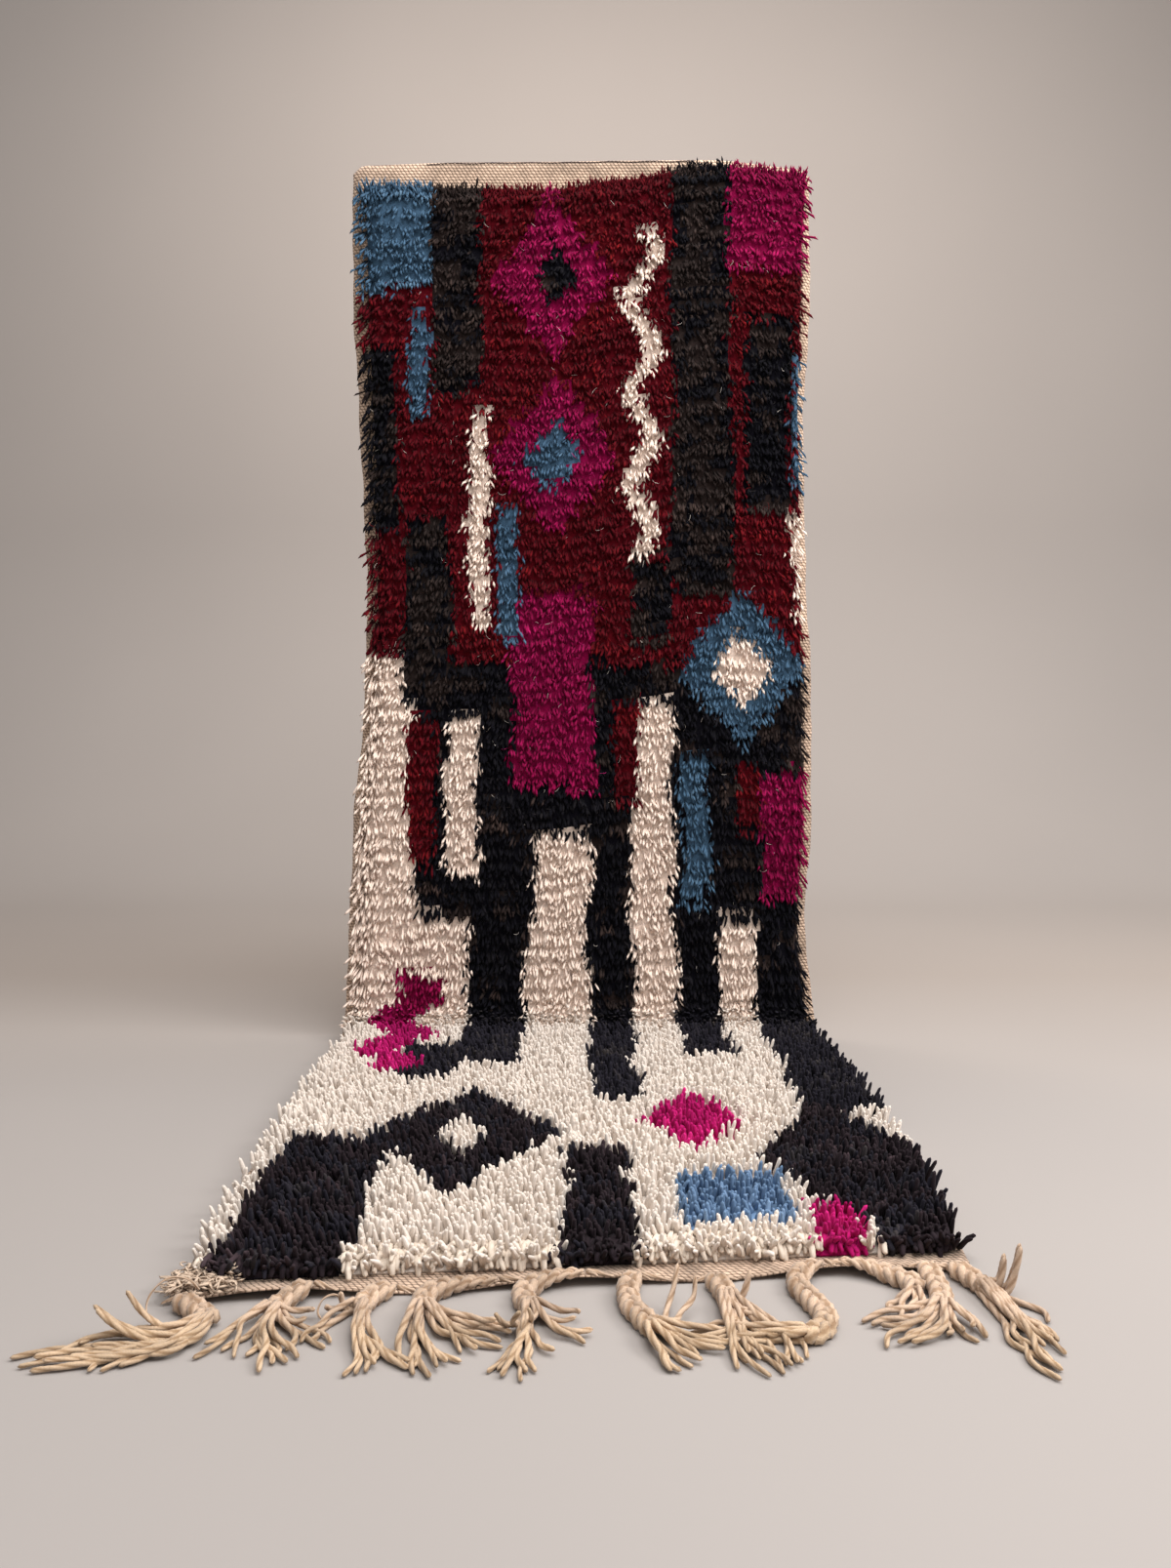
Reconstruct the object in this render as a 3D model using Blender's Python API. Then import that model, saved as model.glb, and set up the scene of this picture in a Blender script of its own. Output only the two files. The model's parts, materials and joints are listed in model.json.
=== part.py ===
# Berber runner rug: wool pile knotted on a woven foundation, with a fringe of plaited warp ends.
# The upper part hangs straight down, the rug bends near the floor, and the rest lies forward on it.
# Metres, +Z up. X runs across the rug, the pile of the hanging part faces -Y, and the floor is Z = 0.
# The origin lies on the floor, under the middle of the laid part.

import math
import random

import bmesh
import bpy
from mathutils import Vector, noise

# Sizes of the hung and laid cloth
TOP_HEIGHT = 1.532  # highest point of the woven top edge
BACK_Y = 0.460  # plane of the hanging part's back
BEND_RADIUS = 0.062  # of the back face where the rug turns onto the floor
FRONT_Y = -0.466  # where the front edge lies at the left corner
FRONT_SLANT = 0.085  # how far it draws back for each metre to the right
CLOTH = 0.0045  # thickness of the woven foundation
CLEAR = 0.0003  # gap between neighbouring pieces

# Along the rug from its top: the side edges, and the width of bare selvedge beside the pile
EDGE_COLUMNS = ("along", "left", "right", "bare_left", "bare_right")
EDGES = (
    (0.04, -0.400, 0.400, 0.026, 0.008),
    (0.23, -0.399, 0.402, 0.028, 0.018),
    (0.45, -0.388, 0.390, 0.028, 0.012),
    (0.60, -0.380, 0.392, 0.026, 0.012),
    (0.74, -0.374, 0.395, 0.022, 0.018),
    (0.91, -0.379, 0.404, 0.022, 0.020),
    (1.17, -0.400, 0.404, 0.026, 0.018),
    (1.34, -0.407, 0.392, 0.026, 0.018),
    (1.52, -0.412, 0.406, 0.022, 0.018),
    (1.83, -0.414, 0.412, 0.014, 0.014),
    (2.12, -0.408, 0.415, 0.014, 0.014),
    (2.40, -0.400, 0.402, 0.016, 0.016),
)

# Across the rug: how far the top edge dips, and the width of bare weave above the pile
TOP_COLUMNS = ("across", "dip", "band")
TOP_EDGE = (
    (-0.40, 0.010, 0.036),
    (-0.20, 0.004, 0.046),
    (-0.06, 0.003, 0.052),
    (0.08, 0.001, 0.034),
    (0.22, 0.000, 0.012),
    (0.40, 0.016, 0.008),
)

TOP_CORNER = 0.012  # radius of the top corners
FRONT_CORNER = 0.015  # radius of the front corners
CURL_WIDTHS = (0.0, 0.006, 0.014)  # across a selvedge that curls back
CURL_DEPTHS = (0.007, 0.003, 0.0)  # how far each of them leans to the wall
CURL_FADE = 0.18  # length above the bend in which the curl dies out
FRONT_BAND = 0.036  # bare weave in front of the pile
FRONT_LIFT = 0.0085  # how far the front edge stands off the floor at most
LIFT_WAVE = 0.28  # length of the front edge's waves
LIFT_PHASE = 1.80  # of the waves at the middle, in radians

# The pile: rows of drooping locks
PILE_CREST = 0.028
PILE_TROUGH = 0.013
PILE_DROOP = 0.005  # how far a crest hangs over the row below it
PILE_IN_BEND = 0.80  # share of its height where the bend presses it together
PILE_LUMP = 0.005  # how uneven its crests are
RIM_SHARE = 0.60  # height of the slab's rim, of the height inside it
PITCH = 0.033  # from one row of locks to the next
ROW_STRAY = 0.009  # how far a row strays along the rug
ROW_STAGGER = 0.010  # how far the lumps of a row stand beside those of the row above
LUMPS_ACROSS = 20
LOCKS_PER_LUMP = 2  # at the top and front rims
BEND_STEPS = 8
LOCK_SHARE = 0.85  # of the places at a rim that carry a lock
LOCK_LIFT = 0.0012  # least height of a lock off the weave

# A tassel is one plait of warp ends that opens into loose strands
ROOT_WIDTH = 0.022
ROOT_THICK = 0.0035
PLAIT_WIDTH = 0.019
PLAIT_THICK = 0.010
PLAIT_LOBE = 0.0024  # how far each crossing swings to a side
PLAIT_RINGS = 7
STRANDS = 8
STRAND_WIDTH = 0.0056
STRAND_THICK = 0.0050
STRAND_RINGS = 4
STRAND_ROOM = 0.72  # its width at most, of the gap to its neighbour
STRAND_REACH = (0.80, 1.0)  # of the fan's length, for the strands inside it
STRAND_TIP = 0.55  # its size at the tip
UPPER_SHARE = 0.78  # width of its upper side, of its lower side
COMB_LENGTH = 0.006  # from the plait's end to the strands' roots
SIDE_SHARE = 0.72  # height of the plait's sides, of its middle
COMB_SHARE = 0.75  # height of the comb, of the plait's

# Each tassel's root, the end of its plait, and the tips of its first and last strand, on the floor
TASSEL_COLUMNS = (
    "root_x", "bow", "plait_x", "plait_y", "left_x", "left_y", "right_x", "right_y"
)
TASSELS = (
    (-0.366, 0.003, -0.368, -0.508, -0.500, -0.556, -0.402, -0.592),
    (-0.287, -0.004, -0.291, -0.492, -0.346, -0.564, -0.250, -0.562),
    (-0.203, -0.004, -0.208, -0.486, -0.242, -0.552, -0.160, -0.582),
    (-0.108, -0.012, -0.146, -0.488, -0.140, -0.586, -0.080, -0.552),
    (-0.004, -0.018, -0.048, -0.483, -0.066, -0.584, 0.004, -0.542),
    (0.057, -0.018, 0.058, -0.498, 0.062, -0.585, 0.108, -0.564),
    (0.136, 0.006, 0.147, -0.480, 0.134, -0.578, 0.186, -0.568),
    (0.240, -0.010, 0.221, -0.474, 0.206, -0.552, 0.252, -0.536),
    (0.290, 0.010, 0.288, -0.450, 0.270, -0.520, 0.304, -0.540),
    (0.342, 0.004, 0.346, -0.460, 0.324, -0.548, 0.366, -0.542),
    (0.380, 0.006, 0.396, -0.456, 0.388, -0.576, 0.460, -0.522),
)

# Yarns: base colour and roughness
YARNS = {
    "wine": ((0.120, 0.003, 0.009), 0.90),
    "magenta": ((0.400, 0.006, 0.100), 0.88),
    "blue": ((0.100, 0.180, 0.290), 0.90),
    "charcoal": ((0.026, 0.019, 0.019), 0.93),
    "black": ((0.010, 0.009, 0.013), 0.93),
    "cream": ((0.810, 0.710, 0.640), 0.90),
}
WEAVE_COLOUR = (0.520, 0.385, 0.292)
FRINGE_COLOUR = (0.600, 0.455, 0.335)

# The motifs, later ones over earlier ones; a zigzag's width is that of its line
MOTIF_COLUMNS = ("kind", "yarn", "across", "along", "width", "length")
MOTIFS = (
    ("bar", "wine", 0.00, 0.43, 0.90, 0.92),
    ("bar", "black", 0.06, 1.09, 0.80, 0.44),
    ("bar", "cream", -0.365, 1.10, 0.150, 0.50),
    ("bar", "cream", 0.00, 1.89, 0.90, 1.16),
    ("bar", "blue", -0.328, 0.13, 0.150, 0.200),
    ("bar", "charcoal", -0.215, 0.21, 0.085, 0.380),
    ("bar", "black", -0.350, 0.48, 0.065, 0.320),
    ("lozenge", "magenta", -0.045, 0.20, 0.220, 0.280),
    ("lozenge", "black", -0.045, 0.20, 0.090, 0.110),
    ("lozenge", "magenta", -0.045, 0.51, 0.220, 0.280),
    ("lozenge", "blue", -0.045, 0.51, 0.100, 0.120),
    ("zigzag", "cream", 0.105, 0.40, 0.034, 0.560),
    ("bar", "charcoal", 0.210, 0.38, 0.105, 0.740),
    ("bar", "magenta", 0.335, 0.10, 0.160, 0.170),
    ("bar", "black", 0.325, 0.44, 0.080, 0.340),
    ("bar", "blue", 0.392, 0.46, 0.040, 0.220),
    ("bar", "cream", -0.175, 0.62, 0.034, 0.360),
    ("bar", "charcoal", -0.265, 0.78, 0.080, 0.320),
    ("bar", "magenta", -0.050, 0.92, 0.150, 0.340),
    ("lozenge", "blue", 0.280, 0.88, 0.220, 0.280),
    ("lozenge", "cream", 0.280, 0.88, 0.100, 0.130),
    ("bar", "magenta", 0.365, 1.18, 0.110, 0.240),
    ("bar", "cream", 0.125, 1.12, 0.070, 0.380),
    ("bar", "blue", 0.200, 1.17, 0.050, 0.260),
    ("bar", "wine", -0.275, 1.10, 0.050, 0.260),
    ("bar", "cream", -0.205, 1.10, 0.055, 0.280),
    ("bar", "cream", -0.030, 1.25, 0.100, 0.160),
    ("bar", "black", -0.145, 1.52, 0.100, 0.480),
    ("bar", "black", 0.050, 1.60, 0.075, 0.640),
    ("bar", "black", 0.205, 1.50, 0.075, 0.420),
    ("bar", "black", 0.370, 1.62, 0.130, 0.680),
    ("bar", "black", -0.235, 1.74, 0.090, 0.160),
    ("zigzag", "magenta", -0.300, 1.60, 0.070, 0.380),
    ("lozenge", "charcoal", -0.150, 2.05, 0.260, 0.360),
    ("lozenge", "cream", -0.150, 2.05, 0.080, 0.120),
    ("lozenge", "magenta", 0.150, 2.00, 0.140, 0.210),
    ("bar", "blue", 0.170, 2.24, 0.120, 0.130),
    ("bar", "charcoal", -0.335, 2.20, 0.130, 0.340),
    ("lozenge", "charcoal", 0.325, 2.13, 0.230, 0.400),
    ("bar", "charcoal", 0.020, 2.24, 0.065, 0.300),
    ("bar", "magenta", 0.275, 2.32, 0.055, 0.130),
    ("bar", "blue", -0.125, 0.71, 0.036, 0.240),
    ("bar", "blue", -0.280, 0.36, 0.034, 0.180),
    ("bar", "charcoal", 0.120, 0.76, 0.070, 0.150),
    ("bar", "wine", 0.075, 1.02, 0.040, 0.170),
    ("bar", "charcoal", 0.385, 0.98, 0.050, 0.140),
    ("bar", "wine", 0.290, 1.10, 0.036, 0.120),
    ("bar", "cream", 0.385, 0.70, 0.044, 0.190),
)
ZIGZAG_SWING = 0.030
ZIGZAG_TURN = 0.160
WANDER = 0.013  # how far the outline of a motif strays

WALL_RUN = TOP_HEIGHT - BEND_RADIUS
BEND_RUN = BEND_RADIUS * math.pi / 2
FLOOR_START = WALL_RUN + BEND_RUN


def between(table, columns, at, name):
    # Reads a column of a table at a place, with smooth passages from row to row.
    column = columns.index(name)
    if at <= table[0][0]:
        return table[0][column]
    for low, high in zip(table, table[1:]):
        if at <= high[0]:
            share = (at - low[0]) / (high[0] - low[0])
            share = share * share * (3 - 2 * share)
            return low[column] + share * (high[column] - low[column])
    return table[-1][column]


def edge(along, name):
    return between(EDGES, EDGE_COLUMNS, along, name)


def top_edge(across, name):
    return between(TOP_EDGE, TOP_COLUMNS, across, name)


def front_y(across):
    return FRONT_Y + FRONT_SLANT * (across - EDGES[0][1])


def front_along(across):
    return FLOOR_START + BACK_Y - BEND_RADIUS - front_y(across)


def drape(across, along, height):
    # The place in the room of a point of the flat rug, at a height off the weave's face.
    off = CLOTH + height
    if along <= WALL_RUN:
        return Vector((across, BACK_Y - off, TOP_HEIGHT - along))
    if along <= FLOOR_START:
        turn = (along - WALL_RUN) / BEND_RADIUS
        reach = BEND_RADIUS - off
        y = BACK_Y - BEND_RADIUS + reach * math.cos(turn)
        return Vector((across, y, BEND_RADIUS - reach * math.sin(turn)))
    return Vector((across, BACK_Y - BEND_RADIUS - (along - FLOOR_START), off))


def front_lift(across, along):
    # The front edge rises off the floor in slow waves, and the weave behind the band lies flat.
    share = 1 - (front_along(across) - along) / FRONT_BAND
    wave = 0.5 + 0.5 * math.sin(2 * math.pi * across / LIFT_WAVE + LIFT_PHASE)
    return FRONT_LIFT * wave * min(max(share, 0.0), 1.0) ** 1.5


def selvedge_curl(along, offset_index):
    fade = min(max((WALL_RUN - along) / CURL_FADE, 0.0), 1.0)
    return CURL_DEPTHS[offset_index] * fade


def principled(name, colour, roughness):
    material = bpy.data.materials.new(name)
    material.use_nodes = True
    shader = material.node_tree.nodes["Principled BSDF"]
    shader.inputs["Base Color"].default_value = (*colour, 1.0)
    shader.inputs["Roughness"].default_value = roughness
    shader.inputs["Metallic"].default_value = 0.0
    material.diffuse_color = (*colour, 1.0)
    return material


def strip(bm, first, second):
    # Joins two rows of points, which may differ in number, with a band of triangles.
    i = j = 0
    while i < len(first) - 1 or j < len(second) - 1:
        next_i = (i + 1) / (len(first) - 1) if i < len(first) - 1 else 2.0
        next_j = (j + 1) / (len(second) - 1) if j < len(second) - 1 else 2.0
        if next_i <= next_j:
            bm.faces.new((first[i], first[i + 1], second[j]))
            i += 1
        else:
            bm.faces.new((first[i], second[j + 1], second[j]))
            j += 1


def grow(bm, ring, further_rings):
    # Carries a ring of points outwards through further rings, and closes the last one.
    faces = []
    for places in further_rings:
        following = [bm.verts.new(place) for place in places]
        for k in range(len(ring)):
            after = (k + 1) % len(ring)
            faces.append(bm.faces.new((ring[k], ring[after], following[after], following[k])))
        ring = following
    faces.append(bm.faces.new(ring))
    return faces


def finish(name, bm, materials):
    bmesh.ops.recalc_face_normals(bm, faces=bm.faces)
    mesh = bpy.data.meshes.new(name)
    bm.to_mesh(mesh)
    bm.free()
    mesh.shade_smooth()
    mesh.set_sharp_from_angle(angle=math.radians(50))
    for material in materials:
        mesh.materials.append(material)
    piece = bpy.data.objects.new(name, mesh)
    bpy.context.scene.collection.objects.link(piece)
    return piece


def corner_inset(distance, radius):
    if distance >= radius:
        return 0.0
    return radius - math.sqrt(radius**2 - (radius - distance) ** 2)


def foundation_rows():
    # Each row: how far along it lies as a function of the place across, and its corner inset.
    rows = []
    for distance in (0.0, 0.004, TOP_CORNER):
        rows.append((lambda x, d=distance: top_edge(x, "dip") + d, corner_inset(distance, TOP_CORNER)))
    wall_steps = 11
    for k in range(1, wall_steps + 1):
        rows.append((
            lambda x, t=k / wall_steps: (1 - t) * (top_edge(x, "dip") + TOP_CORNER) + t * WALL_RUN,
            0.0,
        ))
    for k in range(1, BEND_STEPS + 1):
        rows.append((lambda x, t=k / BEND_STEPS: WALL_RUN + t * BEND_RUN, 0.0))
    floor_steps = 8
    for k in range(1, floor_steps + 1):
        rows.append((
            lambda x, t=k / floor_steps: (1 - t) * FLOOR_START + t * (front_along(x) - FRONT_BAND),
            0.0,
        ))
    for distance in (FRONT_CORNER, 0.009, 0.004, 0.0):
        rows.append((lambda x, d=distance: front_along(x) - d, corner_inset(distance, FRONT_CORNER)))
    return rows


def build_foundation():
    # One woven sheet: its selvedges curl back where it hangs, and its front edge waves.
    inner_columns = 9
    bm = bmesh.new()
    faces_rows, backs_rows = [], []
    for along_at, inset in foundation_rows():
        middle = along_at(0.0)
        left = edge(middle, "left") + inset
        right = edge(middle, "right") - inset
        first, last = left + CURL_WIDTHS[-1], right - CURL_WIDTHS[-1]
        places = [(left + width, index) for index, width in enumerate(CURL_WIDTHS[:-1])]
        for k in range(inner_columns + 1):
            places.append((first + (last - first) * k / inner_columns, len(CURL_WIDTHS) - 1))
        for index in reversed(range(len(CURL_WIDTHS) - 1)):
            places.append((right - CURL_WIDTHS[index], index))
        face_row, back_row = [], []
        for across, index in places:
            along = along_at(across)
            rise = front_lift(across, along) - selvedge_curl(along, index)
            face_row.append(bm.verts.new(drape(across, along, rise)))
            back_row.append(bm.verts.new(drape(across, along, rise - CLOTH)))
        faces_rows.append(face_row)
        backs_rows.append(back_row)
    for rows in (faces_rows, backs_rows):
        for upper, lower in zip(rows, rows[1:]):
            strip(bm, upper, lower)
    for end in (0, -1):
        strip(bm, faces_rows[end], backs_rows[end])
        strip(bm, [row[end] for row in faces_rows], [row[end] for row in backs_rows])
    return finish("foundation", bm, [principled("woven_wool", WEAVE_COLOUR, 0.92)])


def yarn_at(across, along):
    # The yarn of the knot at this place: the last motif that covers it.
    stray = noise.noise_vector(Vector((across * 9, along * 9, 0.5))) * WANDER
    x, s = across + stray.x, along + stray.y
    found = "wine"
    for row in MOTIFS:
        motif = dict(zip(MOTIF_COLUMNS, row))
        dx = abs(x - motif["across"]) / (motif["width"] / 2)
        ds = abs(s - motif["along"]) / (motif["length"] / 2)
        if motif["kind"] == "bar":
            inside = dx < 1 and ds < 1
        elif motif["kind"] == "lozenge":
            inside = dx + ds < 1
        else:
            phase = (s % ZIGZAG_TURN) / ZIGZAG_TURN
            middle = motif["across"] + ZIGZAG_SWING * (4 * abs(phase - 0.5) - 1)
            inside = abs(x - middle) < motif["width"] / 2 and ds < 1
        if inside:
            found = motif["yarn"]
    return found


def yarn_of(flat_places):
    middle = sum(flat_places, Vector()) / len(flat_places)
    return yarn_at(middle.x, middle.y)


def pile_stations():
    # How far along each half row of locks lies, as a function of the place across.
    wall_steps = 2 * round(WALL_RUN / PITCH)
    floor_steps = 2 * round((front_along(0.0) - FRONT_BAND - FLOOR_START) / PITCH)
    stations = []
    for k in range(wall_steps + 1):
        stations.append(
            lambda x, t=k / wall_steps: (1 - t) * (top_edge(x, "dip") + top_edge(x, "band")) + t * WALL_RUN
        )
    for k in range(1, BEND_STEPS + 1):
        stations.append(lambda x, t=k / BEND_STEPS: WALL_RUN + t * BEND_RUN)
    for k in range(1, floor_steps + 1):
        stations.append(
            lambda x, t=k / floor_steps: (1 - t) * FLOOR_START + t * (front_along(x) - FRONT_BAND)
        )
    return stations


def pile_height(k, last, across, along, at_rim):
    height = PILE_CREST if k % 2 else PILE_TROUGH
    height += 2 * PILE_LUMP * noise.noise(Vector((across * 24, along * 27, 3.1)))
    if WALL_RUN < along < FLOOR_START:
        height *= PILE_IN_BEND
    if at_rim or k in (0, last):
        height *= RIM_SHARE
    return height


def row_shift(k, across, along):
    # A crest hangs over the row below and strays up and down, but stands upright in the bend.
    room = min(max(abs(along - (WALL_RUN + FLOOR_START) / 2) / BEND_RUN - 0.5, 0.0), 1.0)
    stray = ROW_STRAY * noise.noise(Vector((across * 16, along * 21, 8.2)))
    return room * (stray + (PILE_DROOP if k % 2 else 0.0))


def lock_rings(corners, outward, chance):
    # A rim's quad narrows to a rounded tip that droops along the rug, in the flat rug's own axes.
    middle = sum(corners, Vector()) / len(corners)
    length = chance.uniform(*outward["length"])
    droop = chance.uniform(*outward["droop"])
    rings = []
    for share, size, height in ((0.62, 0.60, 0.0095), (1.0, 0.28, 0.0060)):
        centre = middle + outward["direction"] * (length * share)
        centre.y += droop * share**2
        centre.z = height
        ring = []
        for corner in corners:
            place = centre + (corner - middle) * size
            place.y = min(place.y, front_along(place.x) - LOCK_LIFT)
            place.z = max(place.z, front_lift(place.x, place.y) + LOCK_LIFT)
            ring.append(drape(*place))
        rings.append(ring)
    return rings


def build_pile():
    # A lumpy slab in rows that droop like shingles, with locks standing out at its rims.
    chance = random.Random(7)
    names = list(YARNS)
    stations = pile_stations()
    last = len(stations) - 1
    bm = bmesh.new()
    flat = {}

    def vertex(across, along, height):
        made = bm.verts.new(drape(across, along, height))
        flat[made] = Vector((across, along, height))
        return made

    def rim_wall(low, high, outward, every=1):
        # The wall between the slab's underside and its rim, with a lock on most of its quads.
        for k in range(len(low) - 1):
            quad = (low[k], low[k + 1], high[k + 1], high[k])
            if k % every == 0 and chance.random() < LOCK_SHARE:
                corners = [flat[corner] for corner in quad]
                for face in grow(bm, quad, lock_rings(corners, outward, chance)):
                    face.material_index = names.index(yarn_of(corners))
            else:
                bm.faces.new(quad)

    tops, lows = [], []
    for k, along_at in enumerate(stations):
        middle = along_at(0.0)
        left = edge(middle, "left") + edge(middle, "bare_left")
        right = edge(middle, "right") - edge(middle, "bare_right")
        columns = LUMPS_ACROSS * (LOCKS_PER_LUMP if k in (0, last) else 1)
        top_row, low_row = [], []
        for j in range(columns + 1):
            at_rim = j in (0, columns)
            across = left + (right - left) * j / columns
            if not at_rim and k not in (0, last):
                across += (ROW_STAGGER if k % 4 < 2 else -ROW_STAGGER) * (1 - abs(2 * j / columns - 1) ** 4)
            along = along_at(across)
            height = pile_height(k, last, across, along, at_rim)
            shift = row_shift(k, across, along) if not at_rim and k not in (0, last) else 0.0
            top_row.append(vertex(across, along + shift, height))
            if at_rim or k in (0, last):
                low_row.append(vertex(across, along, CLEAR))
        tops.append(top_row)
        lows.append(low_row)

    for upper, lower in zip(tops, tops[1:]):
        strip(bm, upper, lower)

    # The underside's first face takes in the curved top edge, and the rest lies between the rims
    bm.faces.new((*lows[0], lows[1][-1], lows[2][-1], lows[2][0], lows[1][0]))
    for upper, lower in zip(lows[2:], lows[3:]):
        strip(bm, upper, lower)

    outwards = {
        "left": {"direction": Vector((-1, 0, 0)), "length": (0.008, 0.026), "droop": (0.003, 0.012)},
        "right": {"direction": Vector((1, 0, 0)), "length": (0.008, 0.026), "droop": (0.003, 0.012)},
        "top": {"direction": Vector((0, -1, 0)), "length": (0.003, 0.009), "droop": (0.0, 0.001)},
        "front": {"direction": Vector((0, 1, 0)), "length": (0.009, 0.018), "droop": (0.0, 0.002)},
    }
    rim_wall([row[0] for row in lows], [row[0] for row in tops], outwards["left"], every=2)
    rim_wall([row[-1] for row in lows], [row[-1] for row in tops], outwards["right"], every=2)
    rim_wall(lows[0], tops[0], outwards["top"])
    rim_wall(lows[-1], tops[-1], outwards["front"])
    for face in bm.faces:
        if all(v in flat for v in face.verts):
            face.material_index = names.index(yarn_of([flat[v] for v in face.verts]))
    return finish("pile", bm, [principled(f"{name}_wool", *YARNS[name]) for name in names])


def bezier(points, share):
    a, b, c, d = points
    rest = 1 - share
    return a * rest**3 + b * (3 * rest**2 * share) + c * (3 * rest * share**2) + d * share**3


def across_of(points, share):
    # The level direction to the right of a curve at a place on it.
    step = 0.01
    ahead = bezier(points, min(share + step, 1.0)) - bezier(points, max(share - step, 0.0))
    ahead.z = 0
    ahead.normalize()
    return Vector((-ahead.y, ahead.x, 0))


def build_tassel(index, row, material):
    # A flat root of warp ends, a plait with crossings to the left and right, and loose strands.
    tassel = dict(zip(TASSEL_COLUMNS, row))
    chance = random.Random(40 + index)
    x = tassel["root_x"]
    root = Vector((x, front_y(x) - CLEAR, front_lift(x, front_along(x))))
    end = Vector((tassel["plait_x"], tassel["plait_y"], 0))
    fan_middle = Vector((
        (tassel["left_x"] + tassel["right_x"]) / 2,
        (tassel["left_y"] + tassel["right_y"]) / 2,
        0,
    ))
    heading = (fan_middle - end).normalized()
    run = (end - root).length
    curve = (
        root,
        root + Vector((tassel["bow"], -run * 0.40, -root.z * 0.7)),
        end - heading * run * 0.35 + Vector((tassel["bow"], 0, 0)),
        end,
    )
    bm = bmesh.new()
    tops, lows = [], []
    for k in range(PLAIT_RINGS):
        share = k / (PLAIT_RINGS - 1)
        centre = bezier(curve, share)
        right = across_of(curve, share)
        blend = min(share * 3, 1.0)
        width = ROOT_WIDTH + (PLAIT_WIDTH - ROOT_WIDTH) * blend
        thick = ROOT_THICK + (PLAIT_THICK - ROOT_THICK) * blend
        if k == 0:
            slant = Vector((1, FRONT_SLANT, 0))
            right = slant.normalized()
        elif k < PLAIT_RINGS - 1:
            centre = centre + right * (PLAIT_LOBE if k % 2 else -PLAIT_LOBE)
        up = Vector((0, 0, thick))
        half = right * (width / 2)
        tops.append([
            bm.verts.new(centre - half * UPPER_SHARE + up * SIDE_SHARE),
            bm.verts.new(centre + up),
            bm.verts.new(centre + half * UPPER_SHARE + up * SIDE_SHARE),
        ])
        lows.append([
            bm.verts.new(centre - half),
            bm.verts.new(centre),
            bm.verts.new(centre + half),
        ])

    # The plait's end opens into a comb of roots, one for each strand
    right = across_of(curve, 1.0)
    comb_centre = end + heading * COMB_LENGTH
    comb_tops, comb_lows = [], []
    for k in range(STRANDS + 1):
        offset = right * (PLAIT_WIDTH * (k / STRANDS - 0.5))
        comb_tops.append(bm.verts.new(comb_centre + offset + Vector((0, 0, PLAIT_THICK * COMB_SHARE))))
        comb_lows.append(bm.verts.new(comb_centre + offset))
    tops.append(comb_tops)
    lows.append(comb_lows)
    for rows in (tops, lows):
        for upper, lower in zip(rows, rows[1:]):
            strip(bm, upper, lower)
    for side in (0, -1):
        strip(bm, [ring[side] for ring in tops], [ring[side] for ring in lows])
    strip(bm, tops[0], lows[0])

    left_tip = Vector((tassel["left_x"], tassel["left_y"], 0)) - comb_centre
    right_tip = Vector((tassel["right_x"], tassel["right_y"], 0)) - comb_centre
    left_turn = math.atan2(left_tip.y, left_tip.x)
    right_turn = math.atan2(right_tip.y, right_tip.x)
    routes = []
    for k in range(STRANDS):
        share = k / (STRANDS - 1)
        turn = left_turn + (right_turn - left_turn) * share
        length = left_tip.length + (right_tip.length - left_tip.length) * share
        way = Vector((math.cos(turn), math.sin(turn), 0))
        start = (comb_lows[k].co + comb_lows[k + 1].co) / 2
        tip = comb_centre + way * length
        routes.append((
            start,
            start + (heading + way).normalized() * length * 0.30,
            start.lerp(tip, 0.66),
            tip,
        ))
    for k, route in enumerate(routes):
        reach = chance.uniform(*STRAND_REACH) if 0 < k < STRANDS - 1 else 1.0
        neighbours = routes[max(k - 1, 0):k] + routes[k + 1:k + 2]
        rings = []
        for step in range(1, STRAND_RINGS + 1):
            along = reach * step / STRAND_RINGS
            place = bezier(route, along)
            gap = min((bezier(other, along) - place).length for other in neighbours)
            width = min(STRAND_WIDTH, gap * STRAND_ROOM)
            thick = STRAND_THICK
            if step == STRAND_RINGS:
                width *= STRAND_TIP
                thick *= STRAND_TIP
            up = Vector((0, 0, thick))
            half = across_of(route, along) * (width / 2)
            rings.append((
                place - half * UPPER_SHARE + up,
                place + half * UPPER_SHARE + up,
                place + half,
                place - half,
            ))
        grow(bm, (comb_tops[k], comb_tops[k + 1], comb_lows[k + 1], comb_lows[k]), rings)
    return finish(f"tassel_{index:02d}", bm, [material])


def main():
    for old in list(bpy.data.objects):
        bpy.data.objects.remove(old)
    build_foundation()
    build_pile()
    fringe = principled("fringe_wool", FRINGE_COLOUR, 0.85)
    for index, row in enumerate(TASSELS, start=1):
        build_tassel(index, row, fringe)


main()
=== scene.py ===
# A shaggy berber runner: it hangs from its top edge, bends at its foot and lies forward on the floor.
import json
import math

import bmesh
import bpy
import numpy as np
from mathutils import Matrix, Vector, noise

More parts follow.
